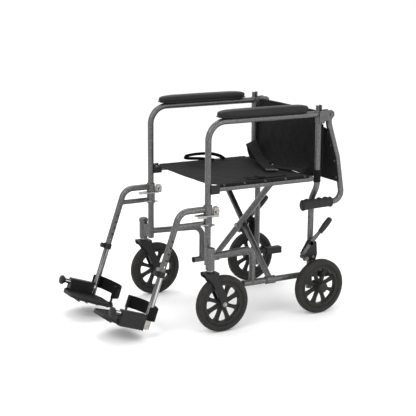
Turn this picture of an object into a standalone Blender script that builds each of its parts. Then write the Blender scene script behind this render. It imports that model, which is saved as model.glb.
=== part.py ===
"""A folding transport wheelchair: tube side frames on an X brace, casters, swing-away footrests, fold-down back."""
import bmesh
import bpy
from math import cos, pi, radians, sin, sqrt, tan
from mathutils import Matrix, Vector

# Driving dimensions, metres. X is the sitter's left, the chair faces -Y, the floor is Z = 0.
# Lengths along Y are measured from the middle of the side frame; MIDDLE_Y moves them to the part's frame.
MIDDLE_Y = 0.13215
GAP = 0.0004

TUBE_R = 0.0111
TUBE_SIDES = 14
WALL = 0.0018
POST_X = 0.218
POST_Y = 0.227
INNER_X = 0.185
FRONT_POST_FOOT = 0.2375
REAR_POST_FOOT = 0.080
REAR_POST_TOP = 0.768
ARM_Z = 0.736
ARM_BEND = 0.065
PAD_TOP = 0.776
SEAT_Z = 0.503
LOWER_Z = 0.135
BRACE_Z = 0.263

WHEEL_R = 0.1016
WHEEL_SEGMENTS = 24
SPOKES = 8
RIM_R = 0.0816
WINDOW_R = 0.066
CASTER_X = 0.258
CASTER_Y = -0.239
CASTER_TRAIL = 0.049
HOUSING_LOW = 0.2295
HOUSING_HIGH = 0.302
REAR_WHEEL_X = 0.242
REAR_WHEEL_Y = 0.232

CROSS_Y = (0.031, 0.0545)
BOLT_R = 0.004

HANGER_TOP_Z = 0.4345
HANGER_FOOT = (-0.411, 0.2185)
EXTENSION_FOOT = (-0.4725, 0.040)
EXTENSION_R = 0.0094
HINGE_LEVEL = 0.036
HINGE_LENGTH = 0.148
HINGE_KNOB = 0.018
TREAD_LEVEL = -0.026
STRAP_Z = (-0.003, 0.042)

CANE_HINGE = (0.272, 0.733)
CANE_PATH = ((0.272, 0.744), (0.272, 0.698), (0.313, 0.572), (0.3405, 0.410), (0.172, 0.4085))
GRIP_R = 0.0188

SEAT_THICK = 0.004
BACK_THICK = 0.004
BACK_HALF = 0.2290
BACK_INSET = 0.196
BELT_WIDTH = 0.045
BELT_THICK = 0.0018

BRAKE_PIVOT = (0.207, 0.262)


def clear_scene():
    for item in list(bpy.data.objects):
        bpy.data.objects.remove(item, do_unlink=True)
    for block in (bpy.data.meshes, bpy.data.materials):
        for item in list(block):
            block.remove(item)


# Finishes: base colour, roughness, metallic.
FINISHES = {
    "frame_paint": ((0.11, 0.11, 0.115), 0.35, 0.8),
    "black_plastic": ((0.025, 0.025, 0.027), 0.5, 0.0),
    "wheel_plastic": ((0.035, 0.033, 0.031), 0.5, 0.0),
    "tyre": ((0.035, 0.032, 0.030), 0.65, 0.0),
    "chrome": ((0.75, 0.75, 0.76), 0.1, 1.0),
    "zinc": ((0.55, 0.55, 0.54), 0.3, 1.0),
    "nylon": ((0.018, 0.018, 0.020), 0.8, 0.0),
    "webbing": ((0.020, 0.020, 0.022), 0.8, 0.0),
    "vinyl": ((0.022, 0.022, 0.024), 0.5, 0.0),
    "rubber": ((0.022, 0.022, 0.023), 0.6, 0.0),
}


def material(name):
    """The named finish as a Principled material, made once."""
    found = bpy.data.materials.get(name)
    if found:
        return found
    made = bpy.data.materials.new(name)
    made.use_nodes = True
    colour, roughness, metallic = FINISHES[name]
    shader = made.node_tree.nodes["Principled BSDF"]
    shader.inputs["Base Color"].default_value = (*colour, 1)
    shader.inputs["Roughness"].default_value = roughness
    shader.inputs["Metallic"].default_value = metallic
    return made


def outward(bm):
    """The bmesh with its faces turned outward."""
    bmesh.ops.recalc_face_normals(bm, faces=bm.faces)
    if bm.calc_volume(signed=True) < 0:
        bmesh.ops.reverse_faces(bm, faces=bm.faces)
    return bm


def solid(verts, faces):
    """A bmesh with outward faces from plain lists."""
    bm = bmesh.new()
    made = [bm.verts.new(v) for v in verts]
    for face in faces:
        bm.faces.new([made[i] for i in face])
    bmesh.ops.remove_doubles(bm, verts=bm.verts, dist=1e-7)
    return outward(bm)


def loft(rings):
    """A solid skinned over equal rings of points, capped at both ends."""
    n = len(rings[0])
    verts = [p for ring in rings for p in ring]
    faces = []
    for k in range(len(rings) - 1):
        for i in range(n):
            j = (i + 1) % n
            faces.append((k * n + i, k * n + j, (k + 1) * n + j, (k + 1) * n + i))
    faces.append(tuple(range(n)))
    faces.append(tuple(range((len(rings) - 1) * n, len(rings) * n)))
    return solid(verts, faces)


def filleted(points, bend, steps):
    """The path with each inner corner rounded to a bend radius."""
    pts = [Vector(p) for p in points]
    out = [pts[0]]
    for before, corner, after in zip(pts, pts[1:], pts[2:]):
        u = (before - corner).normalized()
        v = (after - corner).normalized()
        half = u.angle(v) / 2
        reach = min(bend / tan(half), 0.48 * (before - corner).length, 0.48 * (after - corner).length)
        radius = reach * tan(half)
        centre = corner + (u + v).normalized() * (radius / sin(half))
        a = corner + u * reach - centre
        b = corner + v * reach - centre
        turn = a.angle(b)
        for k in range(steps + 1):
            t = k / steps
            out.append(centre + (a * sin((1 - t) * turn) + b * sin(t * turn)) / sin(turn))
    out.append(pts[-1])
    return out


def frames(path):
    """Tangent and a steady side vector at each point of a path."""
    tangents = []
    for i in range(len(path)):
        a = path[max(i - 1, 0)]
        b = path[min(i + 1, len(path) - 1)]
        tangents.append((b - a).normalized())
    side = tangents[0].orthogonal().normalized()
    if abs(tangents[0].x) < 0.9:
        side = (Vector((1, 0, 0)) - tangents[0] * tangents[0].x).normalized()
    sides = []
    for t in tangents:
        side = (side - t * side.dot(t)).normalized()
        sides.append(side)
    return tangents, sides


def circle(centre, tangent, side, radius, count):
    up = tangent.cross(side)
    turns = [2 * pi * (i + 0.5) / count for i in range(count)]
    return [centre + side * (radius * cos(a)) + up * (radius * sin(a)) for a in turns]


def slide_to(point, direction, target):
    """The point moved along a direction until it meets a round bar (point, axis, radius)."""
    origin, axis, radius = Vector(target[0]), Vector(target[1]).normalized(), target[2] + GAP
    w = point - origin
    w = w - axis * w.dot(axis)
    d = direction - axis * direction.dot(axis)
    a = d.dot(d)
    b = w.dot(d)
    c = w.dot(w) - radius * radius
    root = max(b * b - a * c, 0.0)
    return point + direction * ((-b - sqrt(root)) / a)


def end_rings(centre, outward, side, radius, sides, end):
    """Lip and recess rings of a tube end: plain (None), coped to a bar, or bored."""
    if end is None:
        return [circle(centre, outward, side, radius, sides)]
    inner = end.get("inner", radius - WALL)
    rings = [circle(centre, outward, side, r, sides) for r in (radius, inner)]
    if "bar" in end:
        rings = [[slide_to(p, outward, end["bar"]) for p in ring] for ring in rings]
    depth = outward * end.get("depth", 0.012)
    rings.append(circle(centre - depth, outward, side, inner, sides))
    return rings


def bent_tube(points, radius=TUBE_R, bend=0.04, sides=TUBE_SIDES, steps=4, start=None, end=None):
    """A round tube along a path of straight runs and bends."""
    path = filleted(points, bend, steps)
    tangents, side = frames(path)
    first = end_rings(path[0], -tangents[0], side[0], radius, sides, start)
    first = [ring[::-1] for ring in first[::-1]]
    first = [match(ring, circle(path[0], tangents[0], side[0], radius, sides)) for ring in first]
    body = [circle(p, t, s, radius, sides) for p, t, s in zip(path[1:-1], tangents[1:-1], side[1:-1])]
    last = end_rings(path[-1], tangents[-1], side[-1], radius, sides, end)
    return loft(first + body + last)


def match(ring, guide):
    """The ring rotated so that its points face those of the guide ring."""
    centre = sum(guide, Vector()) / len(guide)
    own = sum(ring, Vector()) / len(ring)
    aim = (guide[0] - centre).normalized()
    scores = [(p - own).normalized().dot(aim) for p in ring]
    k = scores.index(max(scores))
    return ring[k:] + ring[:k]


def rod(a, b, radius, sides=12):
    """A straight round bar."""
    return bent_tube((a, b), radius, sides=sides)


def prism(outline, axis, low, high):
    """An outline extruded along an axis: outline in the other two coordinates, in order."""
    def place(p, w):
        return {"x": (w, p[0], p[1]), "y": (p[0], w, p[1]), "z": (p[0], p[1], w)}[axis]
    return loft([[place(p, w) for p in outline] for w in (low, high)])


def box(x, y, z):
    return prism([(x[0], y[0]), (x[1], y[0]), (x[1], y[1]), (x[0], y[1])], "z", z[0], z[1])


def lathe(profile, centre, segments, closed):
    """A profile of (x, radius) turned about the X axis through a centre."""
    cx, cy, cz = centre
    verts = []
    for x, r in profile:
        for i in range(segments):
            a = 2 * pi * i / segments
            verts.append((cx + x, cy + r * sin(a), cz - r * cos(a)))
    faces = []
    rows = len(profile)
    for k in range(rows if closed else rows - 1):
        m = (k + 1) % rows
        for i in range(segments):
            j = (i + 1) % segments
            quad = [k * segments + i, k * segments + j, m * segments + j, m * segments + i]
            if profile[k][1] == 0:
                quad = [k * segments, m * segments + j, m * segments + i]
            elif profile[m][1] == 0:
                quad = [k * segments + i, k * segments + j, m * segments]
            faces.append(tuple(quad))
    used = sorted({i for f in faces for i in f})
    where = {old: new for new, old in enumerate(used)}
    return solid([verts[i] for i in used], [tuple(where[i] for i in f) for f in faces])


def moved(bm, matrix):
    bmesh.ops.transform(bm, matrix=matrix, verts=bm.verts)
    return outward(bm)


def to_mesh(name, bm):
    mesh = bpy.data.meshes.new(name)
    bm.to_mesh(mesh)
    bm.free()
    return mesh


def temporary(bm):
    thing = bpy.data.objects.new("tool", to_mesh("tool", bm))
    bpy.context.collection.objects.link(thing)
    return thing


def fuse(solids, cuts=()):
    """The union of overlapping solids less the cutting solids, as one bmesh."""
    base = temporary(solids[0])
    tools = [(temporary(bm), "UNION") for bm in solids[1:]]
    tools += [(temporary(bm), "DIFFERENCE") for bm in cuts]
    for tool, operation in tools:
        step = base.modifiers.new(operation, "BOOLEAN")
        step.operation = operation
        step.solver = "EXACT"
        step.object = tool
    graph = bpy.context.evaluated_depsgraph_get()
    result = bpy.data.meshes.new_from_object(base.evaluated_get(graph))
    bm = bmesh.new()
    bm.from_mesh(result)
    bmesh.ops.remove_doubles(bm, verts=bm.verts, dist=2e-6)
    bmesh.ops.dissolve_degenerate(bm, edges=bm.edges, dist=2e-6)
    outward(bm)
    for thing in [base] + [tool for tool, operation in tools]:
        bpy.data.objects.remove(thing, do_unlink=True)
    bpy.data.meshes.remove(result)
    return bm


def add(name, bm, slots, paint=None):
    """A finished node in the part's frame. paint gives the slot number at a face's middle."""
    bmesh.ops.translate(bm, vec=(0, MIDDLE_Y, 0), verts=bm.verts)
    thing = bpy.data.objects.new(name, to_mesh(name, bm))
    bpy.context.collection.objects.link(thing)
    for slot in slots:
        thing.data.materials.append(material(slot))
    for face in thing.data.polygons:
        middle = face.center - Vector((0, MIDDLE_Y, 0))
        face.material_index = paint(middle) if paint else 0
    return thing


def mirrored(bm):
    other = bm.copy()
    bmesh.ops.scale(other, vec=(-1, 1, 1), verts=other.verts)
    bmesh.ops.reverse_faces(other, faces=other.faces)
    return other


def pair(name, bm, slots, paint=None):
    """The node for the left side and its mirror image for the right."""
    other = mirrored(bm)
    add("left_" + name, bm, slots, paint)
    flipped = (lambda p: paint(Vector((-p.x, p.y, p.z)))) if paint else None
    add("right_" + name, other, slots, flipped)


def post_bar(x, y, radius=TUBE_R):
    return ((x, y, 0), (0, 0, 1), radius)


def build_side_frame():
    rear = post_bar(POST_X, POST_Y)
    front = post_bar(POST_X, -POST_Y)
    arm = [(POST_X, -POST_Y, FRONT_POST_FOOT), (POST_X, -POST_Y, ARM_Z), (POST_X, POST_Y - 0.012, ARM_Z)]
    pair("arm_frame", bent_tube(arm, bend=ARM_BEND, steps=6, end={"bar": rear}), ["frame_paint"])
    post = [(POST_X, POST_Y, REAR_POST_TOP), (POST_X, POST_Y, 0.473)]
    post += [(INNER_X, POST_Y, 0.418), (INNER_X, POST_Y, REAR_POST_FOOT)]
    pair("rear_post", bent_tube(post, bend=0.05, steps=3), ["frame_paint"])
    low = ((INNER_X, 0, LOWER_Z), (0, 1, 0), TUBE_R)
    brace = [(POST_X - 0.002, -POST_Y + 0.013, BRACE_Z), (INNER_X, -0.023, BRACE_Z), (INNER_X, -0.023, LOWER_Z + 0.014)]
    pair("brace_tube", bent_tube(brace, bend=0.036, steps=4, start={"bar": front}, end={"bar": low}), ["frame_paint"])
    rail = [(INNER_X, -0.060, LOWER_Z), (INNER_X, POST_Y - 0.012, LOWER_Z)]
    inner_post = post_bar(INNER_X, POST_Y)
    pair("lower_rail", bent_tube(rail, end={"bar": inner_post}), ["frame_paint"])


def build_caster_housing():
    barrel = lathe_z([(HOUSING_LOW, 0), (HOUSING_LOW, 0.015), (HOUSING_HIGH - 0.008, 0.015),
                      (HOUSING_HIGH - 0.008, 0.0172), (HOUSING_HIGH, 0.0168), (HOUSING_HIGH + 0.006, 0.011),
                      (HOUSING_HIGH + 0.008, 0)], CASTER_X, CASTER_Y)
    web = [(POST_X, -POST_Y - 0.010), (CASTER_X, CASTER_Y - 0.010)]
    web += [(CASTER_X, CASTER_Y + 0.010), (POST_X, -POST_Y + 0.002)]
    gusset = prism(web, "z", 0.241, 0.287)
    post = rod((POST_X, -POST_Y, 0.2), (POST_X, -POST_Y, 0.33), TUBE_R + GAP, TUBE_SIDES)
    body = fuse([barrel, gusset], [post])
    pair("caster_housing", body, ["frame_paint", "black_plastic"], lambda p: int(p.z > HOUSING_HIGH - 0.0081 and p.x > CASTER_X - 0.018))


def lathe_z(profile, x, y, segments=16):
    """A profile of (z, radius) turned about an upright axis."""
    bm = lathe([(z, r) for z, r in profile], (0, 0, 0), segments, profile[0][1] > 0)
    turn = Matrix(((0, 0, -1, x), (0, 1, 0, y), (1, 0, 0, 0), (0, 0, 0, 1)))
    return moved(bm, turn)


def build_arm_pad():
    half, low, high = 0.0265, ARM_Z + TUBE_R + GAP, PAD_TOP
    stations = [(-0.190, 0.55, 0.35), (-0.186, 0.8, 0.7), (-0.175, 1, 1)]
    stations += [(0.162, 1, 1), (0.173, 0.8, 0.7), (0.177, 0.55, 0.35)]
    section = [(-0.78, 0), (-1, 0.22), (-1, 0.62), (-0.74, 0.92), (-0.3, 1), (0.3, 1), (0.74, 0.92), (1, 0.62), (1, 0.22), (0.78, 0)]
    rings = []
    for y, wide, tall in stations:
        rings.append([(POST_X + half * wide * u, y, low + (high - low) * v * tall) for u, v in section])
    pair("arm_pad", loft(rings), ["vinyl"])


def build_seat_guide():
    block = box((0.2035, 0.2325), (-0.222, -0.188), (0.487, 0.519))
    post = rod((POST_X, -POST_Y, 0.45), (POST_X, -POST_Y, 0.55), TUBE_R + GAP, TUBE_SIDES)
    groove = rod((POST_X, -0.2135, SEAT_Z), (POST_X, -0.15, SEAT_Z), TUBE_R + 0.0009, TUBE_SIDES)
    top = box((POST_X - 0.0118, POST_X + 0.0118), (-0.2135, -0.15), (SEAT_Z, 0.56))
    inner = box((0.19, POST_X), (-0.2135, -0.15), (SEAT_Z + 0.001, 0.56))
    pair("seat_guide", fuse([block], [post, groove, top, inner]), ["black_plastic"])


def build_cane_bracket():
    y, z = CANE_HINGE
    ear = [(0.222, 0.703), (0.222, 0.747), (y, 0.750), (y + 0.012, 0.742), (y + 0.013, 0.728), (y + 0.004, 0.718)]
    ears = [prism(ear, "x", a, a + 0.0038) for a in (POST_X - 0.0155, POST_X + 0.0117)]
    web = box((POST_X - 0.0155, POST_X + 0.0155), (0.2388, 0.2430), (0.703, 0.7475))
    pin = rod((POST_X - 0.0185, y, z), (POST_X + 0.0185, y, z), BOLT_R, 10)
    heads = [rod((a, y, z), (b, y, z), 0.0068, 10) for a, b in ((POST_X - 0.0195, POST_X - 0.0150), (POST_X + 0.0150, POST_X + 0.0195))]
    pair("cane_bracket", fuse(ears + [web, pin] + heads), ["frame_paint", "zinc"], lambda p: int(abs(p.x - POST_X) > 0.0156 or (abs(p.x - POST_X) < 0.0116 and p.y > 0.26)))


def build_brake():
    y, z = BRAKE_PIVOT
    plate = prism([(0.166, 0.226), (0.182, 0.196), (0.232, 0.192), (0.240, 0.215), (0.236, 0.262), (0.214, 0.276), (0.196, 0.274)], "x", 0.2105, 0.2145)
    spacer = box((0.190, 0.211), (0.2165, 0.2375), (0.200, 0.258))
    post = rod((INNER_X, POST_Y, 0.15), (INNER_X, POST_Y, 0.30), TUBE_R + GAP, TUBE_SIDES)
    pin = rod((0.2125, y, z), (0.2262, y, z), 0.005, 10)
    head = rod((0.2222, y, z), (0.2262, y, z), 0.0085, 10)
    bracket = fuse([plate, spacer, pin, head], [post])
    pair("brake_bracket", bracket, ["black_plastic", "zinc"], lambda p: int(p.x > 0.2146))
    arm = [(0.161, 0.219), (0.170, 0.211), (0.205, 0.250), (0.219, 0.262), (0.260, 0.303), (0.252, 0.312), (0.204, 0.273), (0.196, 0.262)]
    bar = prism(arm, "x", 0.2160, 0.2208)
    grip = rod((0.2184, 0.249, 0.3005), (0.2184, 0.291, 0.3455), 0.0092, 10)
    shoe = rod((0.2165, 0.168, 0.2165), (0.2560, 0.168, 0.2165), 0.0075, 10)
    bore = rod((0.20, y, z), (0.24, y, z), 0.0056, 10)
    lever = fuse([bar, grip, shoe], [bore])
    pair("brake_lever", lever, ["zinc", "rubber"], lambda p: int((p.y - 0.245) + (p.z - 0.2965) > 0.0))


def build_tip_lever():
    post = post_bar(INNER_X, POST_Y)
    stub = bent_tube([(INNER_X, 0.300, 0.130), (INNER_X, POST_Y + 0.012, 0.130)], 0.0095, end={"bar": post})
    cap = box((INNER_X - 0.013, INNER_X + 0.013), (0.268, 0.338), (0.117, 0.143))
    pair("tip_lever", fuse([stub, cap]), ["frame_paint", "rubber"], lambda p: int(p.y > 0.2679))


def spoke(angle, centre, thick):
    """One flared wheel spoke."""
    cx, cy, cz = centre
    out, across = Vector((sin(angle), cos(angle))), Vector((cos(angle), -sin(angle)))
    shape = [(0.012, -0.0075), (0.012, 0.0075), (0.045, 0.0066), (0.0685, 0.0115), (0.0685, -0.0115), (0.045, -0.0066)]
    outline = [out * r + across * w for r, w in shape]
    return prism([(cy + p.x, cz + p.y) for p in outline], "x", cx - thick, cx + thick)


def wheel(name, centre, hub):
    """A spoked rim with its hub, and the tyre round it."""
    ring = [(-0.0095, WINDOW_R), (-0.0115, RIM_R - 0.003), (-0.0105, RIM_R), (0.0105, RIM_R), (0.0115, RIM_R - 0.003), (0.0095, WINDOW_R)]
    parts = [lathe(ring, centre, WHEEL_SEGMENTS, True), lathe(hub, centre, 12, hub[0][1] > 0)]
    parts += [spoke(2 * pi * (k + 0.5) / SPOKES, centre, 0.0062) for k in range(SPOKES)]
    pair(name + "_rim", fuse(parts), ["wheel_plastic"])
    base = RIM_R + GAP
    tyre = [(-0.0120, base), (-0.0143, 0.0895), (-0.0118, 0.0978), (-0.0048, WHEEL_R), (0.0048, WHEEL_R), (0.0118, 0.0978), (0.0143, 0.0895), (0.0120, base)]
    pair(name + "_tyre", lathe(tyre, centre, WHEEL_SEGMENTS, True), ["tyre"])


def build_wheels():
    rear = (REAR_WHEEL_X, REAR_WHEEL_Y, WHEEL_R)
    hub = [(0.020, 0), (0.020, 0.0066), (-0.034, 0.0066), (-0.034, 0.0150), (0.026, 0.0160), (0.027, 0.0190), (0.031, 0.0175), (0.033, 0)]
    wheel("rear", rear, hub)
    start = {"bar": post_bar(INNER_X, POST_Y), "inner": 0.004, "depth": 0.004}
    axle = bent_tube([(INNER_X + 0.0135, REAR_WHEEL_Y, WHEEL_R), (0.258, REAR_WHEEL_Y, WHEEL_R)], 0.006, sides=12, start=start)
    pair("rear_axle", axle, ["chrome"])
    hub = [(-0.0165, 0.0056), (-0.0165, 0.0150), (0.0165, 0.0150), (0.0165, 0.0056)]
    wheel("caster", (CASTER_X, CASTER_Y + CASTER_TRAIL, WHEEL_R), hub)


def build_fork():
    y, z = CASTER_Y + CASTER_TRAIL, WHEEL_R
    leg = [(-0.262, 0.2195), (-0.214, 0.2195), (-0.200, 0.196), (-0.188, 0.160), (-0.180, 0.125), (-0.178, 0.103)]
    leg += [(y + 0.008, z - 0.009), (y, z - 0.0125), (y - 0.008, z - 0.009), (-0.203, 0.103), (-0.212, 0.135), (-0.232, 0.170), (-0.250, 0.198), (-0.262, 0.210)]
    legs = [prism(leg, "x", CASTER_X + a, CASTER_X + a + 0.0042) for a in (-0.0215, 0.0173)]
    crown = box((CASTER_X - 0.0215, CASTER_X + 0.0215), (-0.262, -0.216), (0.2135, 0.2195))
    stem = rod((CASTER_X, CASTER_Y, 0.216), (CASTER_X, CASTER_Y, HOUSING_LOW - GAP), 0.0105, 12)
    axle = rod((CASTER_X - 0.0205, y, z), (CASTER_X + 0.0205, y, z), 0.005, 12)
    heads = [rod((CASTER_X + a, y, z), (CASTER_X + b, y, z), 0.0085, 10) for a, b in ((-0.0260, -0.0205), (0.0205, 0.0260))]
    body = fuse(legs + [crown, stem, axle] + heads)
    pair("caster_fork", body, ["black_plastic", "chrome"], lambda p: int(p.z > 0.2196 or abs(p.x - CASTER_X) > 0.0216 or (abs(p.x - CASTER_X) < 0.0172 and p.z < 0.12)))


def build_cross_braces():
    top, low = Vector((POST_X, 0, SEAT_Z)), Vector((-INNER_X, 0, LOWER_Z))
    for name, y, side in (("cross_tube_a", CROSS_Y[0], 1), ("cross_tube_b", CROSS_Y[1], -1)):
        a = Vector((low.x * side, y, low.z))
        b = Vector((top.x * side, y, top.z))
        stop = b - (b - a).normalized() * 0.014
        rail = ((b.x, 0, b.z), (0, 1, 0), TUBE_R)
        tube = bent_tube([a, stop], end={"bar": rail})
        sleeve = rod((a.x, y - 0.019, a.z), (a.x, y + 0.019, a.z), TUBE_R + 0.0038, TUBE_SIDES)
        bore = rod((a.x, y - 0.03, a.z), (a.x, y + 0.03, a.z), TUBE_R + GAP, TUBE_SIDES)
        centre = crossing()
        hole = rod((0, y - 0.03, centre), (0, y + 0.03, centre), BOLT_R + GAP, 10)
        add(name, fuse([tube, sleeve], [bore, hole]), ["frame_paint"])
    z = crossing()
    shank = rod((0, CROSS_Y[0] - 0.0145, z), (0, CROSS_Y[1] + 0.0145, z), BOLT_R, 10)
    heads = [rod((0, a, z), (0, b, z), 0.0078, 8) for a, b in ((CROSS_Y[0] - 0.0165, CROSS_Y[0] - 0.0116), (CROSS_Y[1] + 0.0116, CROSS_Y[1] + 0.0165))]
    add("pivot_bolt", fuse([shank] + heads), ["zinc"])
    rail = rod((POST_X, -0.2115, SEAT_Z), (POST_X, 0.2045, SEAT_Z), TUBE_R, TUBE_SIDES)
    pair("seat_rail", rail, ["frame_paint"])


def crossing():
    """Height where the two brace tubes cross."""
    return LOWER_Z + (SEAT_Z - LOWER_Z) * INNER_X / (INNER_X + POST_X)


def arc(cx, cy, radius, a, b, steps):
    return [(cx + radius * cos(radians(a + (b - a) * k / steps)), cy + radius * sin(radians(a + (b - a) * k / steps))) for k in range(steps + 1)]


def build_seat():
    inner, outer = TUBE_R + GAP, TUBE_R + GAP + SEAT_THICK
    outline = [(0.0004, SEAT_Z + outer)] + arc(POST_X, SEAT_Z, outer, 90, -35, 7)
    outline += arc(POST_X, SEAT_Z, inner, -35, 90, 7) + [(0.0004, SEAT_Z + inner)]
    sheet = prism(outline, "y", -0.210, 0.185)
    corner = box((0.2025, 0.25), (-0.25, -0.1865), (0.45, 0.55))
    pair("seat_panel", fuse([sheet], [corner]), ["nylon"])


def sheet(profile, half):
    """A panel across the chair: a (y, z) centre line given the back's thickness."""
    line = [Vector(q) for q in profile]
    faces = []
    for sign in (1, -1):
        face = []
        for i, q in enumerate(line):
            t = (line[min(i + 1, len(line) - 1)] - line[max(i - 1, 0)]).normalized()
            face.append(tuple(q + Vector((-t.y, t.x)) * (sign * BACK_THICK / 2)))
        faces.append(face)
    return prism(faces[0] + faces[1][::-1], "x", -half, half)


def build_back():
    """The lower panel on the backs of the posts, and the upper one hanging before the folded canes."""
    y = POST_Y + TUBE_R + GAP + BACK_THICK / 2
    low = sheet([(y, 0.5370), (y, 0.7000)], BACK_HALF)
    rise = sheet([(y, 0.6900), (y, 0.7330)], BACK_INSET)
    add("back_lower", fuse([low, rise]), ["nylon"])
    ahead = (TUBE_R + GAP + BACK_THICK / 2) * 1.06
    knee, middle = CANE_PATH[1], CANE_PATH[2]
    hang = [(middle[0] - ahead, middle[1]), (0.3283 - ahead, 0.4820)]
    fold = [(y + 0.0050, 0.7300), (y + 0.0056, 0.7360), (y + 0.0095, 0.7395), (y + 0.0135, 0.7360), (y + 0.0145, 0.7250)]
    over = sheet(fold + [(knee[0] - ahead, knee[1]), hang[0]], BACK_INSET)
    slope = (middle[0] - knee[0]) / (middle[1] - knee[1])
    start = (knee[0] - ahead + slope * (0.6820 - knee[1]), 0.6820)
    add("back_upper", fuse([over, sheet([start] + hang, BACK_HALF)]), ["nylon"])


def cane_points():
    return [(POST_X, y, z) for y, z in CANE_PATH]


def build_canes():
    y, z = CANE_HINGE
    cane = bent_tube(cane_points(), bend=0.03, steps=3)
    hole = rod((0.19, y, z), (0.25, y, z), BOLT_R + GAP, 10)
    pair("push_cane", fuse([cane], [hole]), ["frame_paint"])
    a, b = Vector((POST_X, 0.292, 0.4096)), Vector((POST_X, 0.166, 0.4085))
    grip = bent_tube([a, b], GRIP_R, sides=TUBE_SIDES, start={"inner": TUBE_R + GAP, "depth": 0.1235})
    pair("grip", grip, ["rubber"])


def down_direction():
    """Unit direction of the footrest tubes, down and forward."""
    return (Vector(EXTENSION_FOOT) - Vector(HANGER_FOOT)).normalized()


def on_tube(distance, side=0.0):
    """A point along the footrest tube from its foot, with an offset across it toward the front."""
    d = down_direction()
    across = Vector((d.y, -d.x))
    p = Vector(EXTENSION_FOOT) - d * distance + across * side
    return (POST_X, p.x, p.y)


def build_hanger():
    sleeve_r = TUBE_R + 0.0042
    bar = post_bar(POST_X, -POST_Y, sleeve_r)
    d = down_direction()
    knee = Vector(HANGER_FOOT) - d * ((HANGER_TOP_Z - HANGER_FOOT[1]) / -d.y)
    foot = (POST_X, HANGER_FOOT[0], HANGER_FOOT[1])
    path = [(POST_X, -POST_Y - 0.017, HANGER_TOP_Z), (POST_X, knee.x, HANGER_TOP_Z), foot]
    bore = {"inner": EXTENSION_R + GAP, "depth": 0.140}
    tube = bent_tube(path, bend=0.045, steps=4, start={"bar": bar}, end=bore)
    strut_y = HANGER_FOOT[0] - d.x * ((0.385 - HANGER_FOOT[1]) / -d.y)
    strut = bent_tube([(POST_X, strut_y + 0.004, 0.385), (POST_X, -POST_Y - 0.0165, 0.385)], 0.0088, sides=12, end={"bar": bar, "inner": 0.006})
    length = (Vector(EXTENSION_FOOT) - Vector(HANGER_FOOT)).length
    ring = rod(on_tube(length - 0.004), on_tube(length + 0.016), TUBE_R + 0.0032, TUBE_SIDES)
    knob = rod(on_tube(length + 0.006, -0.010), on_tube(length + 0.006, -0.024), 0.0075, 10)
    inside = rod(on_tube(length - 0.01), on_tube(length + 0.138), EXTENSION_R + GAP, TUBE_SIDES)
    body = fuse([tube, strut, ring, knob], [inside])
    pair("hanger", body, ["frame_paint", "black_plastic"], lambda p: int(p.z < HANGER_FOOT[1] + 0.0165 and p.z > 0.19 and distance_from_tube(p) > TUBE_R + 0.0004))


def distance_from_tube(p):
    d = down_direction()
    w = Vector((p.y, p.z)) - Vector(HANGER_FOOT)
    across = w - d * w.dot(d)
    return sqrt(across.length_squared + (p.x - POST_X) ** 2)


def build_hanger_bracket():
    x, y = POST_X, -POST_Y
    sleeve = rod((x, y, 0.372), (x, y, 0.448), TUBE_R + 0.0042, TUBE_SIDES)
    plate = prism([(x - 0.012, y - 0.046), (x + 0.012, y - 0.046), (x + 0.017, y - 0.01), (x + 0.017, y + 0.012), (x + 0.009, y + 0.041),
                   (x - 0.009, y + 0.041), (x - 0.017, y + 0.012), (x - 0.017, y - 0.01)], "z", 0.4110, 0.4165)
    latch = box((x - 0.0085, x + 0.0085), (y + 0.020, y + 0.038), (0.4120, 0.4400))
    tab = box((x - 0.009, x + 0.009), (y + 0.010, y + 0.024), (0.373, 0.381))
    bore = rod((x, y, 0.30), (x, y, 0.50), TUBE_R + GAP, TUBE_SIDES)
    body = fuse([sleeve, plate, latch, tab], [bore])
    pair("hanger_bracket", body, ["frame_paint", "zinc"], lambda p: int(0.4105 < p.z < 0.4405 and sqrt((p.x - x) ** 2 + (p.y - y) ** 2) > TUBE_R + 0.0044))


def plate_frame():
    """Footplate frame: X across, then forward along the hinge, then up off the plate."""
    d = down_direction()
    origin = on_tube(HINGE_LEVEL)
    forward = Vector((0, d.y, -d.x))
    up = Vector((0, -d.x, -d.y))
    m = Matrix.Identity(4)
    for row in range(3):
        m[row][0] = (1.0, 0.0, 0.0)[row]
        m[row][1] = forward[row]
        m[row][2] = up[row]
        m[row][3] = origin[row]
    return m


def build_extension():
    m = plate_frame()
    length = (Vector(EXTENSION_FOOT) - Vector(HANGER_FOOT)).length
    tube = rod(on_tube(0.0), on_tube(length + 0.055), EXTENSION_R, TUBE_SIDES)
    hinge = rod(m @ Vector((0, 0, 0)), m @ Vector((0, HINGE_LENGTH - 0.008, 0)), EXTENSION_R, TUBE_SIDES)
    cap = rod(m @ Vector((0, HINGE_LENGTH - HINGE_KNOB, 0)), m @ Vector((0, HINGE_LENGTH, 0)), 0.0160, TUBE_SIDES)
    inverse = m.inverted()
    pair("extension", fuse([tube, hinge, cap]), ["chrome", "black_plastic"], lambda p: int((inverse @ p).y > HINGE_LENGTH - HINGE_KNOB - 0.0002))


PLATE_OUTLINE = ((0.000, 0.022), (0.000, 0.118), (-0.045, 0.143), (-0.100, 0.145), (-0.140, 0.135), (-0.158, 0.108),
                 (-0.165, 0.050), (-0.166, 0.006), (-0.158, -0.006), (-0.125, -0.010), (-0.050, -0.010),
                 (-0.030, 0.000), (-0.022, 0.022))


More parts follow.
